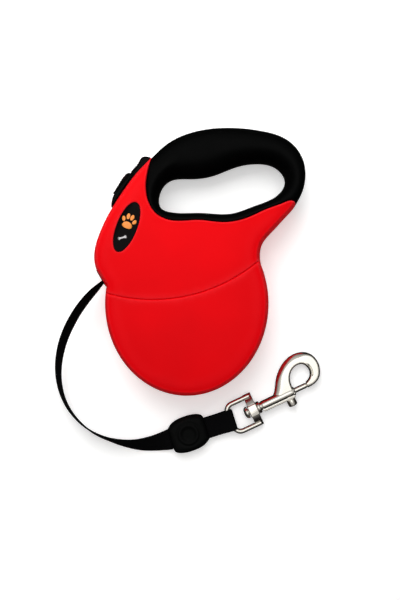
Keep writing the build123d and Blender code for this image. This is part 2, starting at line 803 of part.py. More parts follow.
def make_button():
    """The thumb piece, with a rail for the lock and a tunnel for the lock's foot."""
    outline = [
        (-27.2, 102.4),
        (-31.2, 101.7),
        (-34.0, 96.3),
        RAIL_START,
        RAIL_END,
        (-50.3, 73.5),
        (-51.5, 69.1),
        (-50.0, 66.6),
        rail_point(18.0, -BUTTON_DEPTH),
        rail_point(4.0, -BUTTON_DEPTH),
        (-33.4, 88.6),
        (-25.8, 98.8),
    ]
    low = MID_Z - BUTTON_WIDTH / 2
    with BuildPart() as brake_button:
        add(block(quad(outline), low, low + BUTTON_WIDTH))
        add(
            block(quad(rail_box((0, 18.6), (-1.9, 5))), low, low + BUTTON_WIDTH),
            mode=Mode.SUBTRACT,
        )
        add(
            block(quad(rail_box((3.6, 13.6), (-7.3, -4.4))), low, low + BUTTON_WIDTH),
            mode=Mode.SUBTRACT,
        )
        add(
            block(quad(rail_box((4.6, 12.4), (-5, 0))), MID_Z - 2.3, MID_Z + 2.3),
            mode=Mode.SUBTRACT,
        )
    brake_button.part.label = "brake_button"
    export_step(brake_button.part, "parts/brake_button.step")
    with BuildPart() as lock_detent:
        add(block(quad(rail_box((3.7, 13.5), (-7.25, -6.9))), MID_Z - 4, MID_Z + 4))
    lock_detent.part.label = "lock_detent"
    export_step(lock_detent.part, "parts/lock_detent.step")


def make_lock_slider():
    """The lock: a thumb bump on the rail, a stem, and a foot whose ends reach past the button."""
    bump = [(0.3, -1.6), (0.3, 0.6), (1.8, 2.0), (5.0, 2.6), (11.5, 2.1), (14.2, 1.3), (14.2, -1.6)]
    with BuildPart() as lock_slider:
        add(block(quad([rail_point(*p) for p in bump]), MID_Z - 6.4, MID_Z + 6.4))
        add(block(quad(rail_box((5, 8), (-6, -1.6))), MID_Z - 2, MID_Z + 2))
        add(
            block(
                quad(rail_box((4, 9), (-6.5, -5.0))),
                MID_Z - LOCK_FOOT_HALF,
                MID_Z + LOCK_FOOT_HALF,
            )
        )
    lock_slider.part.label = "lock_slider"
    export_step(lock_slider.part, "parts/lock_slider.step")


def make_pawl():
    """The bar that the button drives: a foot, a slotted arm over the reel, and a narrow tip."""
    base = BUTTON_REACH
    with BuildPart() as brake_pawl:
        add(block(quad(brake_box((base - FOOT_THICK, base), (-4, 4))), MID_Z - 6, PAWL_Z[1]))
        wing = quad(brake_box((base - FOOT_THICK, base), (3, POCKET_SIDE[1] - 0.4)))
        add(block(wing, MID_Z - POCKET_HALF_HEIGHT + 0.4, MID_Z + POCKET_HALF_HEIGHT - 0.4))
        add(block(quad(brake_box((4, base), (-3.6, 3.6))), *PAWL_Z))
        add(block(quad(brake_box((0, 4), (-2.4, 2.4))), *PAWL_Z))
        for out in PIN_OUT:
            ends = (out - GUIDE_PIN - 0.2, out + BRAKE_TRAVEL + GUIDE_PIN + 0.2)
            gap = GUIDE_PIN + 0.1
            hole_box = quad(brake_box(ends, (-gap, gap)))
            add(block(hole_box, PAWL_Z[0] - 1, PAWL_Z[1] + 1), mode=Mode.SUBTRACT)
    brake_pawl.part.label = "brake_pawl"
    export_step(brake_pawl.part, "parts/brake_pawl.step")
    with BuildPart() as brake_guide_pins:
        with BuildSketch(level(FACE_WALL)):
            with Locations(*[brake_point(out, 0) for out in PIN_OUT]):
                Circle(GUIDE_PIN)
        extrude(amount=THICKNESS - 2 * FACE_WALL)
    brake_guide_pins.part.label = "brake_guide_pins"
    export_step(brake_guide_pins.part, "parts/brake_guide_pins.step")


def coil_spring(plane, radius, wire, length, turns):
    """A round-wire compression spring standing on a plane."""
    with BuildPart() as spring:
        with BuildLine():
            coil = Helix(length / turns, length, radius, plane.origin, plane.z_dir)
        with BuildSketch(Plane(coil @ 0, z_dir=coil % 0)):
            Circle(wire)
        sweep(path=coil, is_frenet=True)
    return spring.part


def make_springs():
    out = (-BRAKE_DIRECTION[0], -BRAKE_DIRECTION[1], 0)
    seat = (*brake_point(SPRING_SEAT_OUT, SPRING_SIDE), MID_Z)
    length = BUTTON_REACH - FOOT_THICK - SPRING_SEAT_OUT - 1.2
    with BuildPart() as brake_spring:
        add(coil_spring(Plane(seat, z_dir=out).offset(0.6), 2.6, 0.35, length, 5))
    brake_spring.part.label = "brake_spring"
    export_step(brake_spring.part, "parts/brake_spring.step")
    chamber = Plane(snap_point(CHAMBER_X[0], 0), z_dir=(*turned(SNAP_DEG), 0))
    with BuildPart() as bolt_spring:
        add(coil_spring(chamber.offset(0.5), 1.75, 0.3, PISTON_X[0] - CHAMBER_X[0] - 1.0, 8))
    bolt_spring.part.label = "bolt_spring"
    export_step(bolt_spring.part, "parts/bolt_spring.step")


def snap_point(along, left):
    """A point at the snap's mid height, along its axis from the bar and to its left."""
    return snap_plane.from_local_coords(Vector(along, left, 0))


def across(along):
    """The plane square to the snap's axis, a distance from the bar."""
    return Plane(
        snap_point(along, 0), x_dir=(*turned(SNAP_DEG + 90), 0), z_dir=(*turned(SNAP_DEG), 0)
    )


def make_swivel_loop():
    """Round wire bent to a U, closed by a flat plate with a collar that carries the stem."""
    ends = [
        (PLATE_X[0] + 1, LOOP_HALF_WIDTH),
        (0, LOOP_HALF_WIDTH),
        (0, -LOOP_HALF_WIDTH),
        (PLATE_X[0] + 1, -LOOP_HALF_WIDTH),
    ]
    with BuildPart() as swivel_loop:
        with BuildLine(snap_plane) as path:
            FilletPolyline(*ends, radius=2.6)
        with BuildSketch(Plane(path.line @ 0, z_dir=path.line % 0)):
            Circle(WIRE_RADIUS)
        sweep(path=path.line)
        with BuildSketch(across(PLATE_X[0])):
            Rectangle(2 * (LOOP_HALF_WIDTH + WIRE_RADIUS), PLATE_HEIGHT)
        extrude(amount=PLATE_X[1] - PLATE_X[0])
        with BuildSketch(across(COLLAR_X)):
            RectangleRounded(8.8, 8.0, 1.2)
        extrude(amount=PLATE_X[0] - COLLAR_X)
        with BuildSketch(across(COLLAR_X - 1)):
            Circle(STEM_RADIUS + 0.08)
        extrude(amount=PLATE_X[1] - COLLAR_X + 2, mode=Mode.SUBTRACT)
    swivel_loop.part.label = "swivel_loop"
    export_step(swivel_loop.part, "parts/swivel_loop.step")


def make_stem_rivet():
    with BuildPart() as stem_rivet:
        with BuildSketch(across(COLLAR_X - 0.3)):
            Circle(4.0)
        extrude(amount=-2.4)
        fillet(stem_rivet.faces().sort_by(Axis.X)[0].edges(), 1.4)
        with BuildSketch(across(COLLAR_X - 0.3)):
            Circle(STEM_RADIUS)
        extrude(amount=FLANGE_X[0] - COLLAR_X + 0.3)
    stem_rivet.part.label = "stem_rivet"
    export_step(stem_rivet.part, "parts/stem_rivet.step")


def hook_face():
    """The hook in plan: broad at its back, open over the bolt, with a blunt nose."""
    with BuildSketch() as face:
        with BuildLine():
            back = Spline(
                (33.5, 2.6),
                (40.1, 12.3),
                (45.6, 18.2),
                (52.5, 22.3),
                (61.0, 23.0),
                (68.4, 19.6),
                (71.9, 12.0),
                (70.6, 4.6),
                (65.4, -0.6),
                (59.8, -1.9),
                tangents=((0.1, 1), (-1, 0)),
            )
            nose = Line(back @ 1, (59.8, 2.0))
            eye = Spline(
                nose @ 1,
                (64.2, 5.2),
                (65.4, 9.6),
                (62.6, 14.8),
                (56.6, 15.6),
                (50.9, 11.6),
                (48.6, 2.6),
                tangents=((1, 0.3), (0, -1)),
            )
            Line(eye @ 1, back @ 0)
        make_face()
    return face.sketch


def make_hook():
    with BuildPart() as hook_body:
        with BuildSketch(snap_plane.offset(-HOOK_THICK / 2)):
            add(hook_face())
        extrude(amount=HOOK_THICK)
        with BuildSketch(across(FLANGE_X[0])):
            Circle(4.2)
        extrude(amount=FLANGE_X[1] - FLANGE_X[0])
        with BuildSketch(across(FLANGE_X[1])):
            Circle(BARREL_RADIUS)
        extrude(amount=BARREL_END - FLANGE_X[1])
        with BuildSketch(across(CHAMBER_X[0])):
            Circle(CHAMBER_RADIUS)
        extrude(amount=CHAMBER_X[1] - CHAMBER_X[0], mode=Mode.SUBTRACT)
        with BuildSketch(across(CHAMBER_X[1])):
            Circle(BOLT_RADIUS + FIT)
        extrude(amount=BARREL_END - CHAMBER_X[1] + 1, mode=Mode.SUBTRACT)
        with BuildSketch(snap_plane.offset(-KNOB_STEM - 0.2)):
            with Locations((KNOB_X - BOLT_TRAVEL / 2, -BARREL_RADIUS)):
                Rectangle(BOLT_TRAVEL + 2 * KNOB_STEM + 0.6, 2 * BARREL_RADIUS - 0.6)
        extrude(amount=2 * (KNOB_STEM + 0.2), mode=Mode.SUBTRACT)
    hook_body.part.label = "hook_body"
    export_step(hook_body.part, "parts/hook_body.step")


def make_bolt():
    with BuildPart() as hook_bolt:
        with BuildSketch(across(PISTON_X[0])):
            Circle(CHAMBER_RADIUS - 0.05)
        extrude(amount=PISTON_X[1] - PISTON_X[0])
        with BuildSketch(across(PISTON_X[1])):
            Circle(BOLT_RADIUS)
        extrude(amount=BOLT_END - PISTON_X[1])
        chamfer(hook_bolt.faces().sort_by(Axis.X)[-1].edges(), 0.4)
    hook_bolt.part.label = "hook_bolt"
    export_step(hook_bolt.part, "parts/hook_bolt.step")
    side = Plane(
        snap_point(KNOB_X, -CHAMBER_RADIUS),
        x_dir=(*turned(SNAP_DEG), 0),
        z_dir=(*turned(SNAP_DEG - 90), 0),
    )
    with BuildPart() as bolt_knob:
        with BuildSketch(side):
            Circle(KNOB_STEM)
        extrude(amount=1.8)
        with BuildSketch(side.offset(1.8)):
            Circle(3.2)
        extrude(amount=5.0)
        chamfer(bolt_knob.faces().sort_by(Axis.Y)[0].edges(), 0.6)
    bolt_knob.part.label = "bolt_knob"
    export_step(bolt_knob.part, "parts/bolt_knob.step")


body = body_face()
grip = grip_face()
hole = hole_face()
core = core_face()
slot = button_slot()


def main():
    make_front_shell()
    make_rear_shell()
    make_grips()
    make_badges()
    make_casing_screws()
    make_axle()
    make_reel()
    make_reel_flange()
    make_spring_cover()
    make_power_spring()
    make_wound_tape()
    make_mouth()
    make_tape_lead()
    make_free_tape()
    make_tape_twist()
    make_end_cover()
    make_tape_loop()
    make_button()
    make_lock_slider()
    make_pawl()
    make_springs()
    make_swivel_loop()
    make_stem_rivet()
    make_hook()
    make_bolt()


if __name__ == "__main__":
    main()
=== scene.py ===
"""Looks of the retractable tape leash, lying on a white floor.

Lengths are in millimetres."""

import json
import math

import bmesh
import bpy
import numpy as np
from mathutils import Matrix, Vector
from mathutils.geometry import delaunay_2d_cdt


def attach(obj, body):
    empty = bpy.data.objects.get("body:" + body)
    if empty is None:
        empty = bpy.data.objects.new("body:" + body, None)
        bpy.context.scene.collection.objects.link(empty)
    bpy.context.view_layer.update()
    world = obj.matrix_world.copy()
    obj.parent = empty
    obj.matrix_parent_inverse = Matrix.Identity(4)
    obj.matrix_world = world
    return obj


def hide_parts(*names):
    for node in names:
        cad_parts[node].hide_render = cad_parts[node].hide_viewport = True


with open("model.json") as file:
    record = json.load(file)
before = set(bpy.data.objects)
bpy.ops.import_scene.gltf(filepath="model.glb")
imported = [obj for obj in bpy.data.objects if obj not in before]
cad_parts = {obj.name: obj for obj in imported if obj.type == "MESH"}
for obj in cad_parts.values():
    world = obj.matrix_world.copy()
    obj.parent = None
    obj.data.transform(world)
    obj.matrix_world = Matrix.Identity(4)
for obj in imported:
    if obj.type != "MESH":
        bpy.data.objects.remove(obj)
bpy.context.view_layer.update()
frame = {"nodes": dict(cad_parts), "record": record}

MM = 0.001
MID = 17.0  # height of the casing's middle
UP = np.array([0, 0, 1.0])
scene = bpy.context.scene


# ---------------- camera, light, floor

CAMERA_HEIGHT = 550.0
VIEW_HEIGHT = 420.0  # the frame's height, measured on the floor
SENSOR = 24.0
SKY = 0.53
PAPER_GLOW = 0.42
WALL_GLOW = 0.80


def make_camera():
    data = bpy.data.cameras.new("camera")
    data.sensor_fit = "VERTICAL"
    data.sensor_height = SENSOR
    data.lens = SENSOR * CAMERA_HEIGHT / VIEW_HEIGHT
    data.clip_start = 0.01
    cam = bpy.data.objects.new("camera", data)
    cam.location = (0.0088, 0.0054, CAMERA_HEIGHT * MM)
    scene.collection.objects.link(cam)
    scene.camera = cam


def make_light(name, place, target, size, power):
    data = bpy.data.lights.new(name, "AREA")
    data.shape = "RECTANGLE"
    data.size = data.size_y = size
    data.energy = power
    lamp = bpy.data.objects.new(name, data)
    lamp.location = place
    aim = Vector(target) - Vector(place)
    lamp.rotation_euler = aim.to_track_quat("-Z", "Y").to_euler()
    scene.collection.objects.link(lamp)
    return lamp


def make_sky():
    """A broad soft light overhead that fades to a dark room at the horizon."""
    world = bpy.data.worlds.new("studio")
    scene.world = world
    world.use_nodes = True
    tree = world.node_tree
    back = tree.nodes["Background"]
    place = tree.nodes.new("ShaderNodeTexCoord")
    toward = tree.nodes.new("ShaderNodeVectorMath")
    toward.operation = "DOT_PRODUCT"
    toward.inputs[1].default_value = (-0.13, 0.17, 0.977)
    level = tree.nodes.new("ShaderNodeValToRGB")
    dark, bright = level.color_ramp.elements
    dark.position, dark.color = 0.38, (0.035, 0.03, 0.026, 1)
    bright.position, bright.color = 0.84, (1.0, 0.985, 0.955, 1)
    tree.links.new(place.outputs["Generated"], toward.inputs[0])
    tree.links.new(toward.outputs["Value"], level.inputs[0])
    tree.links.new(level.outputs[0], back.inputs["Color"])
    back.inputs["Strength"].default_value = SKY


def paper(name, white, glow):
    """A matt white that glows a little."""
    return Finish(
        name, (white,) * 3, 0.9, Specular_IOR_Level=0.05, Emission_Color=(1, 1, 1, 1), Emission_Strength=glow
    ).mat


def make_floor():
    data = bpy.data.meshes.new("floor")
    data.from_pydata([(-3, -3, 0), (3, -3, 0), (3, 3, 0), (-3, 3, 0)], [], [(0, 1, 2, 3)])
    floor = bpy.data.objects.new("floor", data)
    floor.location.z = -0.0002
    floor.visible_glossy = False
    scene.collection.objects.link(floor)
    data.materials.append(paper("paper", 0.86, PAPER_GLOW))


def make_backdrop():
    """A pale wall all round, which takes no part in the lighting."""
    bm = bmesh.new()
    bmesh.ops.create_cone(bm, segments=64, radius1=2.9, radius2=2.9, depth=6.0)
    data = from_bmesh("backdrop", bm)
    wall = bpy.data.objects.new("backdrop", data)
    for kind in ("diffuse", "glossy", "shadow", "transmission"):
        setattr(wall, "visible_" + kind, False)
    scene.collection.objects.link(wall)
    data.materials.append(paper("wall", 0.0, WALL_GLOW))


def make_studio():
    scene.view_settings.view_transform = "Standard"
    make_sky()
    key = make_light("key", (-0.08, 0.32, 0.36), (0.0, 0.02, 0), 0.44, 2.50)
    key.visible_glossy = False
    make_light("top", (-0.02, 0.03, 0.75), (0.0, 0.0, 0), 0.55, 0.86)
    make_floor()
    make_backdrop()


# ---------------- materials

class Finish:
    """A material built up from its Principled shader, one named feature at a time."""

    def __init__(self, name, colour, roughness, **values):
        self.mat = bpy.data.materials.new(name)
        self.mat.use_nodes = True
        self.tree = self.mat.node_tree
        self.shader = self.tree.nodes["Principled BSDF"]
        self.shader.inputs["Base Color"].default_value = (*colour, 1)
        self.shader.inputs["Roughness"].default_value = roughness
        for key, value in values.items():
            self.shader.inputs[key.replace("_", " ")].default_value = value
        self.place = self.tree.nodes.new("ShaderNodeTexCoord")
        self.height = None

    def node(self, kind, **values):
        made = self.tree.nodes.new(kind)
        for key, value in values.items():
            if hasattr(made, key):
                setattr(made, key, value)
            else:
                made.inputs[key.replace("_", " ")].default_value = value
        return made

    def link(self, a, b):
        self.tree.links.new(a, b)

    def noise(self, scale, detail=3.0, space="Object", stretch=(1, 1, 1)):
        made = self.node("ShaderNodeTexNoise", Scale=scale, Detail=detail)
        scaled = self.node("ShaderNodeVectorMath", operation="MULTIPLY")
        scaled.inputs[1].default_value = stretch
        self.link(self.place.outputs[space], scaled.inputs[0])
        self.link(scaled.outputs[0], made.inputs["Vector"])
        return made.outputs["Fac"]

    def ramp(self, value, low, high, to_low, to_high):
        made = self.node("ShaderNodeMapRange")
        for name, number in (("From Min", low), ("From Max", high), ("To Min", to_low), ("To Max", to_high)):
            made.inputs[name].default_value = number
        self.link(value, made.inputs["Value"])
        return made.outputs["Result"]

    def maths(self, operation, a, b=None):
        made = self.node("ShaderNodeMath", operation=operation)
        for index, value in enumerate((a, b)):
            if value is None:
                continue
            if isinstance(value, (int, float)):
                made.inputs[index].default_value = value
            else:
                self.link(value, made.inputs[index])
        return made.outputs[0]

    def blend(self, factor, a, b):
        made = self.node("ShaderNodeMix", data_type="RGBA")
        self.link(factor, made.inputs["Factor"])
        for socket, value in ((made.inputs["A"], a), (made.inputs["B"], b)):
            if isinstance(value, tuple):
                socket.default_value = (*value, 1)
            else:
                self.link(value, socket)
        return made.outputs["Result"]

    def colour(self, socket):
        self.link(socket, self.shader.inputs["Base Color"])

    def rough(self, socket):
        self.link(socket, self.shader.inputs["Roughness"])

    def bump(self, socket, strength, distance):
        made = self.node("ShaderNodeBump", Strength=strength, Distance=distance * MM)
        self.link(socket, made.inputs["Height"])
        if self.height is not None:
            self.link(self.height, made.inputs["Normal"])
        self.height = made.outputs["Normal"]
        self.link(self.height, self.shader.inputs["Normal"])

    def edges(self, low=0.5, high=0.62):
        """How much of the edge colour, which is rubbed wear and on the red shell a painted highlight: 0 on flats
        and 1 on outer edges.
        """
        shape = self.node("ShaderNodeNewGeometry")
        return self.ramp(shape.outputs["Pointiness"], low, high, 0.0, 1.0)


def speckled(name, colour, roughness, grain, grain_depth, edge_wear_and_highlight, spread, specular, metallic):
    """A moulded or plated finish: patchy roughness, a fine grain, and paler outer edges: rubbed wear, and on the
    red shell a painted highlight along its rims and lips.
    """
    made = Finish(name, colour, roughness, Specular_IOR_Level=specular, Metallic=metallic)
    patches = made.noise(45.0, 4.0)
    made.rough(made.ramp(patches, 0.3, 0.7, roughness - spread, roughness + spread))
    tone = made.noise(18.0, 2.0)
    dark = tuple(c * 0.9 for c in colour)
    base = made.blend(made.ramp(tone, 0.35, 0.65, 0.0, 1.0), dark, colour)
    # Outer edges blend to the edge colour: rubbed wear, and on the red shell a painted highlight.
    if edge_wear_and_highlight is not None:
        base = made.blend(made.edges(), base, edge_wear_and_highlight)
    made.colour(base)
    made.bump(made.noise(grain, 2.0), 0.5, grain_depth)
    return made


# Each name's colour, roughness, grain's scale and depth, colour of its outer edges (rubbed wear, and on the red
# shell a painted highlight), how far its roughness varies, specular level, and whether it is a metal
FINISHES = {
    # The red shell's edge colour, paler and pinker than its face, is a painted highlight along its rims and seam
    # lips.
    "red_shell": ((0.735, 0.0006, 0.0034), 0.36, 1400.0, 0.012, (0.80, 0.035, 0.048), 0.05, 0.04, 0.0),
    "grip_rubber": ((0.0008, 0.0009, 0.0009), 0.42, 1700.0, 0.03, (0.002, 0.002, 0.0021), 0.08, 0.035, 0.0),
    "badge": ((0.0012, 0.0012, 0.0014), 0.16, 300.0, 0.004, None, 0.03, 0.05, 0.0),
    "badge_print": ((0.83, 0.26, 0.03), 0.34, 900.0, 0.01, None, 0.05, 0.5, 0.0),
    "badge_silver": ((0.55, 0.55, 0.56), 0.25, 900.0, 0.01, None, 0.05, 0.5, 1.0),
    "black_plastic": ((0.0016, 0.0017, 0.0018), 0.36, 1300.0, 0.02, (0.004, 0.004, 0.0045), 0.08, 0.06, 0.0),
    "cover_rubber": ((0.0016, 0.0019, 0.0018), 0.38, 1500.0, 0.02, (0.004, 0.004, 0.0045), 0.08, 0.04, 0.0),
    "reel_plastic": ((0.62, 0.61, 0.57), 0.5, 900.0, 0.02, (0.8, 0.79, 0.76), 0.08, 0.5, 0.0),
    "steel": ((0.56, 0.56, 0.55), 0.34, 500.0, 0.01, (0.75, 0.75, 0.75), 0.08, 0.5, 1.0),
    "spring_steel": ((0.20, 0.205, 0.22), 0.32, 700.0, 0.01, (0.4, 0.4, 0.42), 0.08, 0.5, 1.0),
    "nickel": ((0.86, 0.83, 0.755), 0.17, 260.0, 0.006, (0.9, 0.87, 0.82), 0.05, 0.5, 1.0),
    # nickel_dark is the nickel darkened for the swivel plate: painted shade.
    "nickel_dark": ((0.36, 0.335, 0.31), 0.2, 260.0, 0.006, (0.7, 0.68, 0.64), 0.05, 0.5, 1.0),
}
# Spacing of the webbing's cross ribs and of its warp lines
RIB = 0.95
WARP = 1.25


def make_finishes():
    made = {name: speckled(name, *values) for name, values in FINISHES.items()}
    red, steel, nickel = made["red_shell"], made["steel"], made["nickel"]
    red.bump(red.noise(30.0, 1.0), 0.25, 0.05)
    steel.bump(steel.noise(240.0, 2.0, stretch=(1, 1, 12)), 0.3, 0.01)
    nickel.bump(nickel.noise(60.0, 2.0), 0.3, 0.04)
    made["webbing"] = make_webbing("webbing", "UV")
    made["webbing_plain"] = make_webbing("webbing_plain", "Object")
    return {key: value.mat for key, value in made.items()}


def make_webbing(name, space):
    """Nylon tape: cross ribs broken by warp lines; UV is in millimetres along and across the tape."""
    made = Finish(name, (0.003, 0.003, 0.0033), 0.62, Specular_IOR_Level=0.0)
    axes = made.node("ShaderNodeSeparateXYZ")
    made.link(made.place.outputs[space], axes.inputs[0])
    scale = 1.0 if space == "UV" else 1000.0
    along = made.maths("MULTIPLY", axes.outputs[0], 2 * math.pi * scale / RIB)
    over = made.maths("MULTIPLY", axes.outputs[1 if space == "UV" else 2], 2 * math.pi * scale / WARP)
    shifted = made.maths("ADD", along, made.maths("MULTIPLY", made.maths("SIGN", made.maths("SINE", over)), 1.57))
    weave = made.maths("MULTIPLY", made.maths("SINE", shifted), 0.5)
    warp = made.maths("MULTIPLY", made.maths("ABSOLUTE", made.maths("SINE", over)), 0.6)
    cloth = made.maths("ADD", weave, warp)
    made.bump(cloth, 0.55, 0.16)
    fluff = made.noise(2200.0 if space == "Object" else 3.0, 3.0, space)
    made.bump(fluff, 0.4, 0.05)
    lit = made.ramp(cloth, -0.4, 1.0, 0.0, 1.0)
    made.colour(made.blend(lit, (0.0016, 0.0016, 0.0018), (0.0055, 0.0055, 0.006)))
    made.rough(made.ramp(fluff, 0.3, 0.7, 0.52, 0.72))
    return made


# ---------------- plan curves

def travelled(line):
    """How far along the line each of its points is."""
    return np.r_[0, np.cumsum(np.linalg.norm(np.diff(line, axis=0), axis=1))]


def heading(path):
    """The direction of travel at each point of an open line."""
    ahead = np.gradient(path, axis=0)
    return ahead / np.linalg.norm(ahead, axis=1)[:, None]


def spaced(line, step):
    """The line's points moved to even spacing."""
    run = travelled(line)
    at = np.linspace(0, run[-1], max(2, round(run[-1] / step) + 1))
    return np.stack([np.interp(at, run, line[:, k]) for k in range(line.shape[1])], 1)


def through(points, closed=False, start=None, end=None, step=1.2):
    """A smooth curve through the points, with the given directions at its ends."""
    p = np.array(points, float)
    if closed:
        p = np.vstack([p, p[:1]])
    h = np.linalg.norm(np.diff(p, axis=0), axis=1)
    slope = np.diff(p, axis=0) / h[:, None]
    n = len(p)
    a = np.zeros((n, n))
    b = np.zeros((n, 2))
    for i in range(1, n - 1):
        a[i, i - 1 : i + 2] = h[i], 2 * (h[i - 1] + h[i]), h[i - 1]
        b[i] = 3 * (h[i] * slope[i - 1] + h[i - 1] * slope[i])
    if closed:
        a[0, 0], a[0, n - 1] = 1, -1
        a[n - 1, n - 2], a[n - 1, 0], a[n - 1, 1] = h[0], 2 * (h[-1] + h[0]), h[-1]
        b[n - 1] = 3 * (h[0] * slope[-1] + h[-1] * slope[0])
    else:
        a[0, 0] = a[-1, -1] = 1
        b[0] = np.array(start) / np.linalg.norm(start)
        b[-1] = np.array(end) / np.linalg.norm(end)
    m = np.linalg.solve(a, b)
    t = np.linspace(0, 1, 24, endpoint=False)[:, None]
    rows = []
    for i in range(n - 1):
        rows.append(
            (2 * t**3 - 3 * t**2 + 1) * p[i]
            + (t**3 - 2 * t**2 + t) * h[i] * m[i]
            + (3 * t**2 - 2 * t**3) * p[i + 1]
            + (t**3 - t**2) * h[i] * m[i + 1]
        )
    return spaced(np.vstack([*rows, p[-1:]]), step)


def ellipse(centre, radii, tilt=0.0, count=72):
    a = np.linspace(0, 2 * math.pi, count, endpoint=False)
    x, y = radii[0] * np.cos(a), radii[1] * np.sin(a)
    c, s = math.cos(math.radians(tilt)), math.sin(math.radians(tilt))
    return np.stack([centre[0] + c * x - s * y, centre[1] + s * x + c * y], 1)


def distance(points, line, closed=False):
    """How far each point is from a line of straight pieces."""
    if closed:
        line = np.vstack([line, line[:1]])
    a, run = line[:-1], np.diff(line, axis=0)
    size = np.maximum((run**2).sum(1), 1e-12)
    best = np.full(len(points), 1e9)
    for i in range(0, len(points), 2000):
        part = points[i : i + 2000, None] - a[None]
        t = np.clip((part * run).sum(2) / size, 0, 1)
        best[i : i + 2000] = np.linalg.norm(part - t[..., None] * run, axis=2).min(1)
    return best


def inside(points, loop):
    x, y = points[:, 0, None], points[:, 1, None]
    a, b = loop, np.roll(loop, -1, axis=0)
    spans = (a[:, 1] > y) != (b[:, 1] > y)
    rise = np.where(b[:, 1] == a[:, 1], 1e-12, b[:, 1] - a[:, 1])
    meets = x < (b[:, 0] - a[:, 0]) * (y - a[:, 1]) / rise + a[:, 0]
    return (spans & meets).sum(1) % 2 == 1


def normals(loop, closed=True):
    """The direction to the left of travel at each point."""
    if closed:
        run = np.roll(loop, -1, axis=0) - np.roll(loop, 1, axis=0)
    else:
        run = np.gradient(loop, axis=0)
    run /= np.maximum(np.linalg.norm(run, axis=1), 1e-9)[:, None]
    return np.stack([-run[:, 1], run[:, 0]], 1)


def rings(line, offsets, closed=False):
    """Points beside a line at each of the distances to its left."""
    side = normals(line, closed)
    rows = []
    for d in offsets:
        moved = line + side * d
        rows.append(moved[distance(moved, line, closed) > abs(d) * 0.97 - 1e-6])
    return np.vstack(rows)


def rounding(d, radius, power=2.0):
    """0 at an edge, rising like a quarter round to 1 at the radius."""
    t = 1 - np.clip(d / radius, 0, 1)
    return (1 - t**power) ** (1 / power)


def smoothstep(x, low, high):
    t = np.clip((x - low) / (high - low), 0, 1)
    return t * t * (3 - 2 * t)


def lower_of(a, b, soft):
    """The lower of two heights, rounded where they cross."""
    return -soft * np.log(np.exp(-a / soft) + np.exp(-b / soft))


NECK = [(50.6, 43.0), (56.3, 50.1), (66.4, 61.0)]
RIGHT_TIP = (71.9, 67.4)
LEFT_TIP = (-23.2, 100.7)
SEAM = [(72.1, 69.6), (69.8, 71.0), (64.4, 69.7), (53.4, 65.6), (40.0, 59.6), (24.0, 56.6), (8.0, 58.0)]
SEAM += [(-10.0, 57.8), (-20.4, 62.6), (-25.8, 72.0), (-26.7, 84.0)]
NOSE = [(-33.4, 90.2), (-41.6, 79.4), (-50.9, 65.1), (-58.8, 48.6), (-61.9, 34.0)]
MOUTH_TOP = (-60.4, 25.7)
GRIP_BACK = [(-14.0, 109.2), (3.0, 117.4), (26.0, 120.6), (50.0, 118.5), (68.0, 112.0), (77.6, 99.6)]
GRIP_BACK += [(79.4, 89.0), (77.2, 77.5)]
HOLE = [(-18.8, 76.0), (-12.0, 86.0), (3.1, 87.7), (19.3, 90.3), (33.0, 95.6), (49.0, 98.0)]
HOLE += [(60.5, 95.0), (66.6, 86.0), (61.5, 76.5), (45.0, 68.6), (30.0, 63.6), (10.0, 64.0)]
HOLE += [(-10.0, 64.4), (-17.4, 67.4)]
SLOT = [(-20.4, 94.0), (-31.0, 85.2), (-34.0, 78.0), (-44.0, 60.5), (-47.4, 61.9), (-51.4, 65.0)]
SLOT += [(-54.5, 67.5), (-54.5, 90.0), (-40.0, 106.0), (-22.0, 106.0)]
SCREWS = [(0.0, -53.3), (43.4, 40.0), (-53.6, 38.0), (14.0, 52.8), (61.6, 63.0)]
BADGE = (-39.4, 53.4)
BADGE_RADII = (6.7, 17.3)
BADGE_TILT = -21.5
GROOVE_CENTRE = np.array([-22.5, 113.9])
GROOVE_RADIUS = 108.4
SLOT_HALF = 7.4
DRUM_ACROSS, DRUM_DOWN, DRUM_MIDDLE = 54.6, 61.6, 3.0

turn = np.radians(np.linspace(169.5, 383.0, 260))
drum = spaced(np.stack([DRUM_ACROSS * np.cos(turn), DRUM_MIDDLE + DRUM_DOWN * np.sin(turn)], 1), 1.2)
neck = through([drum[-1], *NECK, RIGHT_TIP], start=drum[-1] - drum[-2], end=(0.55, 0.84))
seam = through([RIGHT_TIP, *SEAM, LEFT_TIP], start=(0.35, 1), end=(0.25, 1), step=0.9)
nose = through([LEFT_TIP, *NOSE, MOUTH_TOP], start=(-0.7, -0.7), end=(0.35, -1))
mouth = spaced(np.array([MOUTH_TOP, drum[0]]), 1.2)
back = through([LEFT_TIP, *GRIP_BACK, RIGHT_TIP], start=(0.7, 0.7), end=(-0.5, -0.86))
hole = through(HOLE, closed=True)[:-1]
slot = np.array(SLOT)
red_loop = np.vstack([drum[:-1], neck[:-1], seam[:-1], nose[:-1], mouth[:-1]])
grip_loop = np.vstack([seam[::-1][:-1], back[::-1][:-1]])
casing = np.vstack([drum[:-1], neck[:-1], back[::-1][:-1], nose[:-1], mouth[:-1]])
badge_rim = ellipse(BADGE, np.add(BADGE_RADII, 0.15), BADGE_TILT)


# ---------------- mesh building

def finish_mesh(name, shape, body, finish, cad=(), sharp=38.0):
    """An object for a mesh, a bmesh or a list of them: shaded, with its finish, riding on its body and standing
    for its CAD nodes."""
    if isinstance(shape, list):
        shape = joined(name, shape)
    elif isinstance(shape, bmesh.types.BMesh):
        shape = from_bmesh(name, shape)
    shape.materials.append(finishes[finish])
    shape.shade_smooth()
    shape.set_sharp_from_angle(angle=math.radians(sharp))
    piece = bpy.data.objects.new(name, shape)
    scene.collection.objects.link(piece)
    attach(piece, body)
    if cad:
        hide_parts(*cad)
    return piece


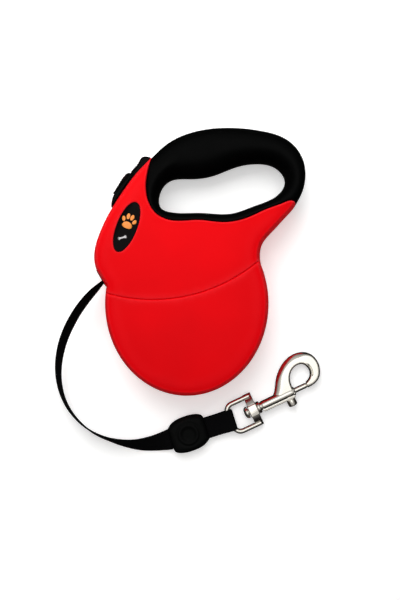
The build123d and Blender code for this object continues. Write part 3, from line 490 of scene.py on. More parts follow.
def plan_row(bm, points, z):
    """The plan's points, at a height above the casing's middle."""
    return [bm.verts.new((x * MM, y * MM, (MID + z) * MM)) for x, y in points]


def skin(bm, rows):
    """Quads all round between each row of points and the next."""
    n = len(rows[0])
    for a, b in zip(rows, rows[1:]):
        for k in range(n):
            j = (k + 1) % n
            bm.faces.new((a[k], a[j], b[j], b[k]))


def capped(bm, rows):
    """A skin over the rows, closed at both ends."""
    skin(bm, rows)
    bm.faces.new(rows[0][::-1])
    bm.faces.new(rows[-1])


def from_bmesh(name, bm):
    mesh = bpy.data.meshes.new(name)
    bm.to_mesh(mesh)
    bm.free()
    return mesh


def triangulated(loops, extra):
    """Triangles over a plan region: the first loop outside, the others holes, with more points inside."""
    outer, holes = loops[0], loops[1:]
    keep = inside(extra, outer)
    for other in holes:
        keep &= ~inside(extra, other)
    for line in loops:
        keep &= distance(extra, line, True) > 0.07
    extra = extra[keep]
    cell = np.round(extra / 0.22).astype(int)
    extra = extra[np.unique(cell, axis=0, return_index=True)[1]]
    points = np.vstack([*loops, extra])
    edges, first = [], 0
    for line in loops:
        n = len(line)
        edges += [(first + i, first + (i + 1) % n) for i in range(n)]
        first += n
    out = delaunay_2d_cdt([Vector(p) for p in points], edges, [], 0, 1e-5)
    flat = np.array([v[:] for v in out[0]])
    where = {}
    for index, sources in enumerate(out[3]):
        for source in sources:
            where[source] = index
    faces = [list(f) for f in out[2]]
    middles = np.array([flat[f].mean(0) for f in faces])
    good = inside(middles, outer)
    for other in holes:
        good &= ~inside(middles, other)
    faces = [f for f, g in zip(faces, good) if g]
    return flat, faces, where


def moulding(name, loops, extra, height, walls, side=1, middle=MID):
    """One half of a moulding: a surface over its plan, and walls from its edges down to the middle.

    walls gives, for each loop, rows of (height above the middle, how far in), from the top down, and
    a test of which points have an opening between two rows."""
    flat, faces, where = triangulated(loops, extra)
    tops = height(flat)
    bm = bmesh.new()
    verts = [bm.verts.new((x * MM, y * MM, (middle + side * z) * MM)) for (x, y), z in zip(flat, tops)]
    for f in faces:
        a, b, c = flat[f[0]], flat[f[1]], flat[f[2]]
        turn_left = (b[0] - a[0]) * (c[1] - a[1]) - (b[1] - a[1]) * (c[0] - a[0]) > 0
        order = f if turn_left == (side > 0) else f[::-1]
        bm.faces.new([verts[i] for i in order])
    first = 0
    for loop, rows, gaps in walls:
        n = len(loop)
        inward = normals(loop)
        upper = [verts[where[first + i]] for i in range(n)]
        for level, (z, depth) in enumerate(rows):
            lower = []
            for i in range(n):
                x, y = loop[i] + inward[i] * depth
                lower.append(bm.verts.new((x * MM, y * MM, (middle + side * z) * MM)))
            for i in range(n):
                j = (i + 1) % n
                if gaps and gaps(level, (loop[i] + loop[j]) / 2):
                    continue
                quad = [upper[i], lower[i], lower[j], upper[j]]
                bm.faces.new(quad if side > 0 else quad[::-1])
            upper = lower
        first += n
    bmesh.ops.delete(bm, geom=[v for v in bm.verts if not v.link_faces], context="VERTS")
    return from_bmesh(name, bm)


def grid(loop, step):
    """Staggered points over a region's box."""
    low, high = loop.min(0), loop.max(0)
    xs = np.arange(low[0], high[0] + step, step)
    ys = np.arange(low[1], high[1] + step, step * 0.866)
    rows = [np.stack([xs + (i % 2) * step / 2, np.full(len(xs), y)], 1) for i, y in enumerate(ys)]
    return np.vstack(rows)


def turned(profile, plane, count=48):
    """A body of revolution: profile is (along, radius) in mm, plane a 4x4 matrix whose Z is its axis."""
    bm = bmesh.new()
    turns = [2 * math.pi * k / count for k in range(count)]
    rows = []
    for along, r in profile:
        points = [(r * math.cos(a) * MM, r * math.sin(a) * MM, along * MM) for a in turns]
        rows.append([bm.verts.new(plane @ Vector(p)) for p in points])
    capped(bm, rows)
    return bm


def local_frame(origin, x_axis, z_axis):
    """A matrix with its origin in mm, and X and Z along the given directions."""
    x = Vector(x_axis).normalized()
    z = Vector(z_axis).normalized()
    y = z.cross(x)
    made = Matrix((x, y, z)).transposed().to_4x4()
    made.translation = Vector(origin) * MM
    return made


def softened(bm, width):
    """Rounds the edges that are sharper than 30 degrees."""
    bmesh.ops.remove_doubles(bm, verts=bm.verts, dist=1e-6)
    bm.normal_update()
    edges = [e for e in bm.edges if len(e.link_faces) == 2 and e.calc_face_angle(0) > math.radians(30)]
    bmesh.ops.bevel(
        bm, geom=edges, offset=width * MM, segments=3, profile=0.6, affect="EDGES", clamp_overlap=True
    )


def placed_row(bm, points, z, plane):
    """Points in a plane's own coordinates, at a height above it."""
    return [bm.verts.new(plane @ Vector((x * MM, y * MM, z * MM))) for x, y in points]


def prism(points, low, high, plane):
    """A straight prism over plan points, in a plane's own coordinates."""
    bm = bmesh.new()
    lower = placed_row(bm, points, low, plane)
    upper = placed_row(bm, points, high, plane)
    bm.faces.new(lower[::-1])
    bm.faces.new(upper)
    skin(bm, [lower, upper])
    bmesh.ops.recalc_face_normals(bm, faces=bm.faces)
    return bm


def joined(name, parts):
    """One mesh from several bmeshes."""
    whole = bmesh.new()
    for part in parts:
        mesh = from_bmesh("part", part)
        whole.from_mesh(mesh)
        bpy.data.meshes.remove(mesh)
    return from_bmesh(name, whole)


# ---------------- free tape

ROUTE = [
    (-0.0570, 0.0178, 0.0170),
    (-0.0660, 0.0094, 0.0161),
    (-0.0775, -0.0060, 0.0144),
    (-0.0865, -0.0255, 0.0123),
    (-0.0894, -0.0480, 0.0098),
    (-0.0834, -0.0695, 0.0076),
    (-0.0675, -0.0860, 0.0076),
    (-0.0465, -0.0936, 0.0074),
    (-0.0265, -0.0952, 0.0060),
    (-0.0115, -0.0912, 0.0044),
]
# How far the tape's top edge leans outward, in degrees, by distance from the mouth in mm
LEAN = [(0, 0), (8, 10), (14, 13.4), (23, 15.4), (37, 15.6), (50, 13.1), (62, 9), (77, 2.1), (92, -4.8)]
LEAN += [(109, -10), (119, -12.5), (127, -15), (135, -18), (144, -27), (152, -36.5), (158, -44), (165, -53)]
LEAN += [(171, -64), (176, -78), (181, -90)]
TAPE_WIDTH = 15.0
TAPE_THICK = 1.2


def read_route():
    """The route's smooth line, as points."""
    curve = bpy.data.curves.new("route", "CURVE")
    curve.dimensions = "3D"
    line = curve.splines.new("NURBS")
    line.points.add(len(ROUTE) - 1)
    for point, place in zip(line.points, ROUTE):
        point.co = (*place, 1)
    line.order_u = 3
    line.use_endpoint_u = True
    line.resolution_u = 16
    holder = bpy.data.objects.new("route", curve)
    scene.collection.objects.link(holder)
    mesh = bpy.data.meshes.new_from_object(holder)
    path = np.array([v.co[:] for v in mesh.vertices]) * 1000
    bpy.data.objects.remove(holder)
    return path


def woven(name, path, blade, face, width, thick):
    """A strip with rounded edges along a path: blade points across its width, face through its thickness."""
    run = travelled(path)
    half, deep = width / 2, thick / 2
    cross = np.linspace(-1, 1, 15)
    section = [(half * v, deep * min(1, 2.2 * math.sqrt(max(0, 1 - abs(v))) + 0.25)) for v in cross]
    section = section + [(v, -d) for v, d in section[::-1]]
    bm = bmesh.new()
    uv = bm.loops.layers.uv.new("UVMap")
    rows = []
    for centre, b, f in zip(path, blade, face):
        rows.append([bm.verts.new((centre + b * v + f * d) * MM) for v, d in section])
    n = len(section)
    for i in range(len(rows) - 1):
        along = [run[i], run[i + 1], run[i + 1], run[i]]
        for k in range(n):
            j = (k + 1) % n
            quad = bm.faces.new((rows[i][k], rows[i + 1][k], rows[i + 1][j], rows[i][j]))
            across_it = [section[k][0], section[k][0], section[j][0], section[j][0]]
            for loop, u, v in zip(quad.loops, along, across_it):
                loop[uv].uv = (u, v)
    bm.faces.new(rows[0])
    bm.faces.new(rows[-1][::-1])
    bmesh.ops.recalc_face_normals(bm, faces=bm.faces)
    return from_bmesh(name, bm)


def make_tape():
    """The free tape, leaning as it goes, and its route in metres."""
    route = read_route()
    path = spaced(route, 0.8)
    keys = np.array(LEAN, float)
    ahead = heading(path)
    out = np.cross(ahead, UP)
    out /= np.linalg.norm(out, axis=1)[:, None]
    up = np.cross(out, ahead)
    angle = np.radians(np.interp(travelled(path), keys[:, 0], keys[:, 1]))[:, None]
    blade = np.cos(angle) * up + np.sin(angle) * out
    face = np.cos(angle) * out - np.sin(angle) * up
    mesh = woven("tape", path, blade, face, TAPE_WIDTH, TAPE_THICK)
    return finish_mesh("tape", mesh, "casing", "webbing", ("free_tape", "tape_twist"), 50), route * MM


# ---------------- casing

RIM = 8.0
TOP = 17.0


def red_height(p, dome):
    """A domed face, a firm edge 2.7 mm in, and a steep band from there down to the rim."""
    edge = distance(p, casing, True)
    lip = distance(p, seam)
    top = TOP + 0.4 * dome - dome * (2.8 * np.clip((6 - p[:, 1]) / 64, 0, 1) ** 2 + 1.1 * (p[:, 0] / 55) ** 2)
    share = 0.60 * rounding(edge, 2.7, 1.7) + 0.40 * rounding(edge, 9.5, 2.0)
    z = RIM + (top - RIM) * share + 0.16 * np.exp(-(((edge - 2.9) / 0.55) ** 2))
    z -= 1.1 * (1 - rounding(lip, 0.9)) - 0.10 * np.exp(-(((lip - 1.0) / 0.35) ** 2))
    z -= 0.35 * (1 - rounding(distance(p, badge_rim, True), 0.8))
    return z


def front_height(p):
    gap = np.linalg.norm(p - GROOVE_CENTRE, axis=1) - GROOVE_RADIUS
    return red_height(p, 1.0) - 0.66 * np.exp(-((gap / 0.40) ** 2))


def rear_height(p):
    return np.minimum(red_height(p, 0.0), TOP)


def red_points(grooved):
    """Points over the body: close together at its edges, lips and groove."""
    steps = (0.12, 0.35, 0.7, 1.1, 1.5, 1.9, 2.25, 2.6, 2.95, 3.4, 4.1, 5.2, 6.6, 8.3)
    outer = rings(casing, steps, True)
    lips = rings(seam, (0.12, 0.35, 0.65, 0.95, 1.3, 1.9))
    oval = [ellipse(BADGE, np.add(BADGE_RADII, 0.15 + d), BADGE_TILT) for d in (0.2, 0.5, 0.9, 1.8)]
    field = grid(red_loop, 2.3)
    near = (distance(field, casing, True) > 9.6) & (distance(field, seam) > 2.8)
    near &= distance(field, badge_rim, True) > 2.6
    sets = [outer, lips, *oval]
    if grooved:
        near &= abs(np.linalg.norm(field - GROOVE_CENTRE, axis=1) - GROOVE_RADIUS) > 1.9
        a = np.radians(np.arange(200, 342, 0.5))
        for d in (-1.0, -0.6, -0.36, -0.18, 0, 0.18, 0.36, 0.6, 1.0):
            r = GROOVE_RADIUS + d
            sets.append(GROOVE_CENTRE + np.stack([r * np.cos(a), r * np.sin(a)], 1))
    return np.vstack([field[near], *sets])


def red_gaps(level, p):
    """Which stretches of the outer wall are open: the button's slot and the mouth."""
    in_slot = inside(p[None], slot)[0]
    in_mouth = distance(p[None], mouth)[0] < 0.2
    return (in_slot and level >= 1) or (in_mouth and level >= 0)


def make_red(side):
    end = "front" if side > 0 else "rear"
    loops = [red_loop, badge_rim[::-1]]
    if side < 0:
        loops += [ellipse(c, (2.4, 2.4), count=24)[::-1] for c in SCREWS]
    rows = [(SLOT_HALF, 0.0), (4.0, 0.0), (0.3, 0.0), (0.0, 0.28)]
    walls = [(loops[0], rows, red_gaps), (loops[1], [(TOP - 1.6, 0.0)], None)]
    walls += [(line, [(TOP - 2.4, 0.0), (TOP - 5.0, 0.0)], None) for line in loops[2:]]
    height = front_height if side > 0 else rear_height
    mesh = moulding("body_" + end, loops, red_points(side > 0), height, walls, side)
    finish_mesh("body_" + end, mesh, "casing", "red_shell", (end + "_shell",), 42)


def grip_height(p):
    """A rounded bar round the finger hole, sunk along the seam."""
    out = distance(p, back)
    eye = distance(p, hole, True)
    lip = distance(p, seam)
    wide = out + eye
    far = smoothstep(lip, 5.0, 24.0)
    r_eye = np.minimum(6.5 + 10.5 * far, 0.62 * wide)
    r_out = np.minimum(10.5, 0.5 * wide)
    z_out = 3.0 + 13.4 * rounding(out, r_out, 2.1)
    z_eye = 2.0 + 14.4 * rounding(eye, r_eye, 2.0)
    return lower_of(z_out, z_eye, 1.2) + 0.25 - 1.3 * np.exp(-lip / 0.9)


def grip_gaps(level, p):
    return level >= 1 and inside(p[None], slot)[0]


def make_grip(side):
    end = "front" if side > 0 else "rear"
    around = rings(hole, (0.2, 0.6, 1.2, 2.0, 3.0, 4.2), True)
    outer = rings(back[::-1], (0.15, 0.5, 1.0, 1.8, 2.8, 4.0, 5.4))
    lips = rings(seam[::-1], (0.3, 0.8, 1.5, 2.4))
    field = grid(grip_loop, 1.5)
    keep = (distance(field, back) > 6.4) & (distance(field, hole, True) > 5.0) & (distance(field, seam) > 3.0)
    extra = np.vstack([field[keep], around, outer, lips])
    rows = [(SLOT_HALF, 0.0), (0.3, 0.0), (0.0, 0.28)]
    walls = [(grip_loop, rows, grip_gaps), (hole, [(0.25, 0.0), (0.0, 0.2)], None)]
    mesh = moulding("grip_" + end, [grip_loop, hole], extra, grip_height, walls, side)
    finish_mesh("grip_" + end, mesh, "casing", "grip_rubber", (end + "_grip",), 50)


def make_slot_liner():
    """The tray behind the button."""
    loop = spaced(np.vstack([slot, slot[:1]]), 2.0)[:-1]
    clear = inside(loop, red_loop) | inside(loop, grip_loop)
    bm = bmesh.new()
    low, high = [plan_row(bm, loop, z) for z in (-SLOT_HALF, SLOT_HALF)]
    n = len(loop)
    for i in range(n):
        j = (i + 1) % n
        if clear[i] and clear[j]:
            bm.faces.new((low[i], high[i], high[j], low[j]))
    flat, faces, _ = triangulated([slot_inner()], np.zeros((0, 2)))
    for z in (-SLOT_HALF, SLOT_HALF):
        verts = plan_row(bm, flat, z)
        for f in faces:
            bm.faces.new([verts[i] for i in (f if z < 0 else f[::-1])])
    bmesh.ops.delete(bm, geom=[v for v in bm.verts if not v.link_faces], context="VERTS")
    finish_mesh("slot_liner", bm, "casing", "black_plastic")


def slot_inner():
    """The part of the slot inside the casing, in plan."""
    loop = spaced(np.vstack([slot, slot[:1]]), 1.0)[:-1]
    line = casing[inside(casing, slot)]
    ins = loop[inside(loop, casing)]
    ins = ins[distance(ins, casing, True) > 0.5]
    whole = np.vstack([ins, line])
    middle = whole.mean(0)
    order = np.argsort(np.arctan2(whole[:, 1] - middle[1], whole[:, 0] - middle[0]))
    return whole[order]


def make_badge(side):
    """The oval plate; returns its dome's height over the badge's own plan."""
    end = "front" if side > 0 else "rear"
    top = (TOP + 0.5) if side > 0 else TOP - 0.15
    dome = 0.7 if side > 0 else 0.0
    bm = bmesh.new()
    centre = bm.verts.new((BADGE[0] * MM, BADGE[1] * MM, (MID + side * (top + dome - 0.4)) * MM))
    rows = []
    for r in (0.12, 0.3, 0.5, 0.7, 0.85, 0.94, 0.985, 1.0):
        z = top - 0.4 + dome * (1 - r**2) - (0.35 if r > 0.99 else 0.0)
        rows.append(plan_row(bm, ellipse(BADGE, np.multiply(BADGE_RADII, r), BADGE_TILT), side * z))
    rows.append(plan_row(bm, ellipse(BADGE, BADGE_RADII, BADGE_TILT), side * (top - 1.8)))
    n = len(rows[0])
    for k in range(n):
        bm.faces.new((centre, rows[0][k], rows[0][(k + 1) % n]))
        for a, b in zip(rows, rows[1:]):
            bm.faces.new((a[k], b[k], b[(k + 1) % n], a[(k + 1) % n]))
    if side < 0:
        bmesh.ops.reverse_faces(bm, faces=bm.faces)
    finish_mesh("badge_" + end, bm, "casing", "badge", (end + "_badge",), 50)
    return lambda u, v: top - 0.4 + dome * (1 - u * u - v * v)


def badge_mark(surface, loops):
    """Raised shapes on the badge's dome; each loop is in the badge's own plan."""
    c, s = math.cos(math.radians(BADGE_TILT)), math.sin(math.radians(BADGE_TILT))
    parts = []
    for loop in loops:
        bm = bmesh.new()
        middle = loop.mean(0)
        rows = []
        for r, lift in ((1.0, 0.0), (0.93, 0.14), (0.6, 0.2), (0.2, 0.22)):
            row = []
            for x, y in middle + (loop - middle) * r:
                px, py = BADGE[0] + c * x - s * y, BADGE[1] + s * x + c * y
                z = surface(x / BADGE_RADII[0], y / BADGE_RADII[1]) + lift - 0.04
                row.append(bm.verts.new((px * MM, py * MM, (MID + z) * MM)))
            rows.append(row)
        skin(bm, rows)
        bm.faces.new(rows[-1])
        parts.append(bm)
    return parts


def make_paw(surface):
    """A plain paw print, with a small bone below it."""
    marks = [((-3.7, 4.6), (1.15, 1.75), 25), ((-1.35, 6.9), (1.2, 1.95), 8)]
    marks += [((1.35, 6.9), (1.2, 1.95), -8), ((3.7, 4.6), (1.15, 1.75), -25)]
    pad = ellipse((0.0, 0.9), (3.3, 2.6), 0, 40)
    low = pad[:, 1] < 0.9
    pad[low, 1] += 0.17 * (9.0 - pad[low, 0] ** 2) * 0.45
    loops = [pad] + [ellipse(c, r, t, 32) for c, r, t in marks]
    finish_mesh("badge_paw", badge_mark(surface, loops), "casing", "badge_print")
    a = np.linspace(0, 2 * math.pi, 64, endpoint=False)
    knuckles = 0.62 * np.sign(np.sin(a)) * smoothstep(abs(np.cos(a)), 0.45, 0.8)
    bone = np.stack([3.1 * np.cos(a), 0.62 * np.sin(a) + knuckles], 1)
    c, s = math.cos(math.radians(36)), math.sin(math.radians(36))
    bone = bone @ np.array([[c, s], [-s, c]]) + (0.0, -7.6)
    finish_mesh("badge_bone", badge_mark(surface, [bone]), "casing", "badge_silver")


def rounded_box(hx, hy, r):
    """A rectangle's outline from its half sides, with rounded corners."""
    corners = []
    for sx, sy, a0 in ((1, 1, 0), (-1, 1, 90), (-1, -1, 180), (1, -1, 270)):
        for a in np.radians(np.linspace(a0, a0 + 90, 7)):
            corners.append((sx * (hx - r) + r * math.cos(a), sy * (hy - r) + r * math.sin(a)))
    return corners


def make_mouth():
    """The tape's outlet: a plate with a soft rim round its slot."""
    low, high = np.array(drum[0]), np.array(MOUTH_TOP)
    along = (high - low) / np.linalg.norm(high - low)
    plane = local_frame((*(low + high) / 2, MID), (*along, 0), (-along[1], along[0], 0))
    half = np.linalg.norm(high - low) / 2 - 0.1
    # Half sides, corner radius, and how far out
    levels = [(half, 8.3, 0.6, -1.2), (half, 8.3, 0.6, 0.1), (half - 0.35, 8.0, 0.8, 0.45)]
    levels += [(4.9, 7.95, 0.8, 0.5), (4.3, 7.9, 0.9, 0.2), (3.9, 7.85, 1.0, -0.8), (3.7, 7.8, 1.0, -4.0)]
    bm = bmesh.new()
    skin(bm, [placed_row(bm, rounded_box(hx, hy, r), z, plane) for hx, hy, r, z in levels])
    finish_mesh("mouth_rim", bm, "casing", "black_plastic", ("tape_mouth",), 50)


# ---------------- button and lock

RAIL_START = np.array([-38.0, 90.8])
RAIL_RUN = np.array([-11.2, -14.6]) / math.hypot(11.2, 14.6)
RAIL_OUT = np.array([RAIL_RUN[1], -RAIL_RUN[0]])


def rail(along, out):
    return tuple(RAIL_START + RAIL_RUN * along + RAIL_OUT * out)


def thumb_piece(name, outline, half, body, cad, round_to=1.3):
    """A rounded thumb piece: its outline swept across, drawn in towards its two sides."""
    bm = bmesh.new()
    line = np.array(outline)
    side = normals(line)
    turns = np.radians([0, 25, 50, 75, 90])
    levels = [(-half + round_to * (1 - math.cos(a)), round_to * (1 - math.sin(a))) for a in turns]
    levels += [(z, 0.0) for z in np.linspace(-half + round_to, half - round_to, 7)[1:-1]]
    levels += [(-z, d) for z, d in levels[4::-1]]
    capped(bm, [plan_row(bm, line + side * depth, z) for z, depth in levels])
    bmesh.ops.recalc_face_normals(bm, faces=bm.faces)
    finish_mesh(name, bm, body, "black_plastic", cad, 48)


def ribbed(line, spacing, depth, first, last):
    """The line with soft grooves to its left, between two distances along it."""
    run = travelled(line)
    wave = 0.5 * (1 - np.cos((run - first) * 2 * math.pi / spacing))
    depths = depth * wave * ((run > first) & (run < last))
    return line + normals(line, False) * depths[:, None]


def make_button():
    """The thumb button: a ribbed hump, a flat rail for the lock, and a toe."""
    keys = [(-23.6, 98.7), (-23.9, 100.4), (-25.6, 101.4), (-29.2, 101.6), (-31.0, 100.5), (-32.4, 98.1)]
    keys += [(-34.8, 94.7), rail(-1.4, 0.05)]
    hump = through(keys, start=(-0.1, 1), end=RAIL_RUN, step=0.3)
    hump = ribbed(hump, 1.7, 0.28, 9.0, 16.0)
    toe = through(
        [rail(18.6, -0.25), rail(20.3, -0.6), rail(22.9, -1.8), rail(25.1, -3.1), rail(26.2, -4.8)],
        start=RAIL_RUN, end=(0.8, -0.6), step=0.5,
    )
    inner = [rail(18.0, -7.8), rail(5.0, -6.5), (-33.9, 88.9)]
    outline = np.vstack([hump, [rail(-0.2, -0.25)], toe, inner])
    thumb_piece("thumb_button", outline, 7.0, "brake", ("brake_button",))


def make_lock():
    """The lock on the rail: a low hump with grooves across it."""
    keys = [(0.3, -0.1), (0.5, 0.6), (2.6, 1.9), (5.4, 2.2), (8.4, 2.0), (11.8, 1.6), (14.8, 1.1)]
    keys += [(17.3, 0.5), (18.0, -0.1)]
    hump = through([rail(*k) for k in keys], start=RAIL_OUT, end=RAIL_RUN - RAIL_OUT, step=0.3)
    hump = ribbed(hump, 1.8, 0.3, 4.0, 13.0)
    thumb_piece("lock_slider_cap", hump, 6.2, "lock", ("lock_slider",), 0.9)


# ---------------- end cover and tape loop

COVER = (0.9, -87.3, 4.4)
COVER_DEG = 17.5
BAR = (30.2, -78.1, 4.4)
SNAP_DEG = 25.0


def flat_frame(origin, degrees):
    """A level frame at a point, its X turned from the scene's."""
    a = math.radians(degrees)
    return local_frame(origin, (math.cos(a), math.sin(a), 0), (0, 0, 1))


def cover_loop():
    top = [(-13.0, 7.4), (-8.5, 10.6), (0.0, 12.2), (7.6, 11.7), (12.4, 9.4)]
    right = [(12.4, 9.4), (13.3, 4.5), (13.4, 0.0), (13.4, -4.0), (13.0, -7.4)]
    top = through(top, start=(0.7, 0.7), end=(0.7, -0.7), step=0.7)
    right = through(right, start=(0.5, -0.9), end=(-0.4, -0.9), step=0.7)
    loop = np.vstack([top[:-1], right[:-1], -top[:-1], -right[:-1]])
    return loop[::-1]


def cover_height(p):
    loop = cover_loop()
    edge = distance(p, loop, True)
    r = np.linalg.norm(p, axis=1)
    z = 0.9 + 3.3 * rounding(edge, 4.2, 2.3) + 0.5 * (1 - np.exp(-edge / 5.0))
    ring = np.exp(-(((r - 6.3) / 0.75) ** 2))
    bowl = 0.62 * (1 - smoothstep(r, 3.4, 5.8))
    return z + 0.34 * ring - bowl - 0.35 * np.exp(-(((r - 7.9) / 0.6) ** 2))


def make_cover(side):
    loop = cover_loop()
    field = grid(loop, 0.85)
    rows = [(0.12, 0.0), (0.0, 0.12)]
    name = "end_cover_cap" if side > 0 else "end_cover_base"
    cad = "end_cover_top" if side > 0 else "end_cover_bottom"
    height = cover_height if side > 0 else lambda p: np.minimum(cover_height(p), 4.35)
    mesh = moulding(name, [loop], field, height, [(loop, rows, None)], side, 0.0)
    mesh.transform(flat_frame(COVER, COVER_DEG))
    return finish_mesh(name, mesh, "casing", "cover_rubber", (cad,), 50)


def make_tape_loop():
    """The tape's doubled end: flat out of the cover, round the swivel's bar and back underneath."""
    a = math.radians(COVER_DEG)
    along = np.array([math.cos(a), math.sin(a), 0])
    cover, bar = np.array(COVER), np.array(BAR)
    reach = np.linalg.norm(bar[:2] - cover[:2])
    at = np.linspace(8.0, reach - 1.0, 24)[:, None]
    lift = UP * (0.62 + 1.75 * smoothstep(at, reach - 9.0, reach - 1.0))
    round_bar = np.radians(np.linspace(90, -90, 17))[:, None]
    bend = bar + 2.45 * (along * np.cos(round_bar) + UP * np.sin(round_bar))
    middle = cover + along * at
    path = spaced(np.vstack([middle + lift, bend, (middle - lift)[::-1]]), 0.6)
    wide = np.array([-along[1], along[0], 0])
    mesh = woven("tape_end_loop", path, [wide] * len(path), np.cross(wide, heading(path)), 14.8, 1.1)
    return finish_mesh("tape_end_loop", mesh, "casing", "webbing", ("tape_loop",), 50)


# ---------------- swivel and snap

# Along the snap from the swivel's bar: the collar's ends, the barrel's start, and where the bolt comes out
COLLAR = (13.9, 20.5)
BARREL = 20.4
CLOSING = 48.8
snap = flat_frame(BAR, SNAP_DEG)


def across(along):
    """The snap's cross plane: X to its left, Y up, Z along it."""
    a = math.radians(SNAP_DEG)
    ahead = (math.cos(a), math.sin(a), 0)
    left = Vector((-ahead[1], ahead[0], 0))
    origin = snap @ Vector((along * MM, 0, 0)) * 1000
    return local_frame(origin, left, ahead)


def tube(points, radius, matrix, count=20):
    """A round bar along points, in a plane's own coordinates."""
    path = np.array(points, float)
    bm = bmesh.new()
    rows = []
    for centre, t in zip(path, heading(path)):
        side = np.array([-t[1], t[0], 0])
        row = []
        for k in range(count):
            a = 2 * math.pi * k / count
            p = centre + radius * (math.cos(a) * side + math.sin(a) * UP)
            row.append(bm.verts.new(matrix @ Vector(p * MM)))
        rows.append(row)
    capped(bm, rows)
    bmesh.ops.recalc_face_normals(bm, faces=bm.faces)
    return bm


def bent(corners, radius, step=0.5):
    """A line round corners with arcs of one radius."""
    out = [np.array(corners[0], float)]
    for before, corner, after in zip(corners, corners[1:], corners[2:]):
        b, c, a = (np.array(p, float) for p in (before, corner, after))
        u, v = (b - c) / np.linalg.norm(b - c), (a - c) / np.linalg.norm(a - c)
        half = math.acos(np.clip(u @ v, -1, 1)) / 2
        cut = radius / math.tan(half)
        middle = c + (u + v) / np.linalg.norm(u + v) * radius / math.sin(half)
        first, last = c + u * cut - middle, c + v * cut - middle
        for t in np.linspace(0, 1, 12):
            p = first * (1 - t) + last * t
            out.append(middle + p / np.linalg.norm(p) * radius)
    out.append(np.array(corners[-1], float))
    return np.array(out)


def make_swivel():
    """The U of round wire, its flat plate, and the collar that the stem turns in."""
    w = 10.2
    line = bent([(18.4, w, 0), (0, w, 0), (0, -w, 0), (18.4, -w, 0)], 5.0)
    wire = tube(spaced(line, 0.4), 1.75, snap, 32)
    taper = [(3.2, 4.0), (7.8, 1.6), (12.1, -1.1), (12.1, -1.7), (6.0, -3.9)]
    taper += [(-6.0, -3.9), (-12.1, -1.7), (-12.1, -1.1), (-7.8, 1.6), (-3.2, 4.0)]
    plate = prism(taper, 0.0, 5.6, across(14.4))
    softened(plate, 0.35)
    first, last = COLLAR
    collar = prism([(first, -4.1), (last, -4.1), (last, 4.1), (first, 4.1)], -4.2, 4.7, snap)
    softened(collar, 0.8)
    # The plate takes nickel_dark, the nickel darkened as painted shade.
    bar = finish_mesh("swivel_plate", plate, "loop", "nickel_dark")
    return bar, finish_mesh("swivel_frame", [wire, collar], "loop", "nickel", ("swivel_loop",), 40)


def make_stem():
    head = [(-3.4, 0.6), (-3.3, 2.0), (-2.9, 3.1), (-2.2, 3.9), (-1.4, 4.2), (-0.75, 4.1), (-0.35, 3.8)]
    stem = [(-0.8, 2.1), (6.6, 2.1)]
    parts = [turned(profile, across(COLLAR[0])) for profile in (head, stem)]
    return finish_mesh("stem_head", parts, "hook", "nickel", ("stem_rivet",), 35)


HOOK_BACK = [(32.4, 0.8), (33.9, 3.3), (36.2, 6.1), (40.1, 12.3), (45.5, 18.0), (51.6, 21.8), (57.3, 23.2)]
HOOK_BACK += [(62.6, 22.8), (67.4, 20.6), (70.7, 16.4), (71.9, 11.1), (70.9, 5.6), (68.2, 1.2)]
HOOK_BACK += [(63.6, -1.4), (58.4, -2.1)]
EYE = [(58.4, 2.3), (61.2, 3.7), (63.7, 7.6), (63.5, 11.2), (61.3, 14.4), (57.7, 15.2), (53.6, 13.9), (50.6, 11.0)]
EYE += [(48.8, 7.0), (48.4, 2.2)]
EYE_RINGS = (0.35, 0.7, 1.05, 1.3, 1.5, 1.75, 2.0, 2.2, 2.5)


def hook_loops():
    outer = through(HOOK_BACK, start=(0.3, 1), end=(-1, -0.1), step=0.6)
    eye = through(EYE, start=(0.9, 0.4), end=(0.0, -1), step=0.5)
    closing = spaced(np.array([eye[-1], [48.4, -1.5], [32.4, -1.5], outer[0]]), 0.6)
    tip = spaced(np.array([outer[-1], eye[0]]), 0.5)
    loop = np.vstack([outer[:-1], tip[:-1], eye[:-1], closing[:-1]])
    return loop[::-1], outer, eye


def hook_height(p):
    """A broad slope down to the hook's back, a round edge to its eye, and a fine line round part of the eye."""
    _, outer, eye = hook_loops()
    rim = distance(p, eye)
    right = smoothstep(p[:, 0] - 0.5 * p[:, 1], 50.0, 62.0)
    out = 0.15 + 3.0 * rounding(distance(p, outer), 5.0 - 3.2 * right, 1.45 + 0.55 * right)
    into = 0.15 + 2.85 * rounding(rim, 1.5, 2.0)
    line = np.exp(-(((rim - 1.75) / 0.26) ** 2)) * smoothstep(p[:, 0], 52.0, 58.0)
    line = line * smoothstep(-p[:, 1], -14.5, -11.0) * smoothstep(p[:, 1], 3.0, 6.0)
    return lower_of(out, into, 0.22) - 0.5 * line


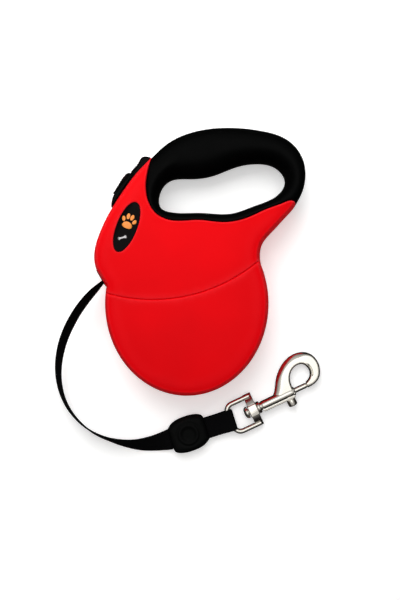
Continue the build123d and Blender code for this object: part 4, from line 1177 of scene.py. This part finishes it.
def make_hook():
    loop, outer, eye = hook_loops()
    field = grid(loop, 0.5)
    close = rings(eye[::-1], EYE_RINGS)
    close = close[inside(close, loop) & (distance(close, outer) > 0.3) & (distance(close, eye) > 0.3)]
    field = np.vstack([field[distance(field, eye) > 2.75], close])
    halves = []
    for side in (1, -1):
        mesh = moulding("half", [loop], field, hook_height, [(loop, [(0.0, 0.0)], None)], side, 0.0)
        mesh.transform(snap)
        bm = bmesh.new()
        bm.from_mesh(mesh)
        bpy.data.meshes.remove(mesh)
        halves.append(bm)
    body = [(20.4, 2.1), (20.5, 3.9), (20.9, 4.25), (22.1, 4.25), (22.6, 3.9), (22.7, 2.9), (23.6, 2.9)]
    body += [(24.2, 3.25), (25.0, 3.35), (44.5, 3.4), (47.2, 3.3), (48.6, 2.9), (49.0, 2.4), (49.0, 2.0)]
    body += [(47.0, 1.95)]
    barrel = turned([(a - BARREL, r) for a, r in body], across(BARREL))
    under = [(23.4, -1.6), (47.6, -1.6), (47.6, -4.0), (46.9, -4.4), (24.6, -4.4), (23.4, -3.4)]
    rib = prism(under, -2.3, 2.3, snap)
    softened(rib, 0.35)
    web = prism([(38.6, 2.0), (47.9, 2.0), (47.9, 4.2), (39.8, 4.4)], -2.5, 2.5, snap)
    softened(web, 0.8)
    return finish_mesh("snap_hook", [*halves, barrel, rib, web], "hook", "nickel", ("hook_body",), 40)


def make_bolt():
    bolt = turned([(0.0, 1.85), (8.45, 1.85), (8.97, 1.4), (9.5, 1.9), (9.55, 1.9)], across(CLOSING))
    inner = turned([(0.0, 2.2), (7.8, 2.2)], across(38.0))
    pin = finish_mesh("snap_bolt", [bolt, inner], "bolt", "nickel", ("hook_bolt",), 40)
    a = math.radians(SNAP_DEG - 90)
    origin = snap @ Vector((43.8 * MM, -2.3 * MM, 0)) * 1000
    plane = local_frame(origin, (0, 0, 1), (math.cos(a), math.sin(a), 0))
    profile = [(0.0, 1.2), (1.9, 1.2), (1.95, 2.6), (2.3, 3.1)]
    bm = turned(profile + [(3.0, 3.2), (5.9, 3.2), (6.5, 2.95), (6.8, 2.4)], plane, 60)
    inverse = plane.inverted()
    for v in bm.verts:
        p = inverse @ v.co
        r = math.hypot(p.x, p.y)
        if r > 2.9 * MM:
            a = math.atan2(p.y, p.x)
            k = 1 - 0.04 * (0.5 + 0.5 * math.cos(a * 20))
            v.co = plane @ Vector((p.x * k, p.y * k, p.z))
    knob = finish_mesh("snap_knob", bm, "bolt", "nickel", ("bolt_knob",), 35)
    return pin, knob


# ---------------- build

make_camera()
make_studio()
finishes = make_finishes()
tape, tape_path = make_tape()
on_tape = [make_cover(1), make_cover(-1), make_tape_loop(), *make_swivel(), make_stem(), make_hook()]
on_tape += make_bolt()
for half in (1, -1):
    make_red(half)
    make_grip(half)
make_slot_liner()
make_paw(make_badge(1))
make_badge(-1)
make_mouth()
make_button()
make_lock()

for cad_node in frame["nodes"].values():
    slot_name = next(s["material_slot"] for s in frame["record"]["subparts"] if s["node"] == cad_node.name)
    finish_name = "webbing_plain" if slot_name == "webbing" else slot_name
    cad_node.data.materials.clear()
    cad_node.data.materials.append(finishes[finish_name])
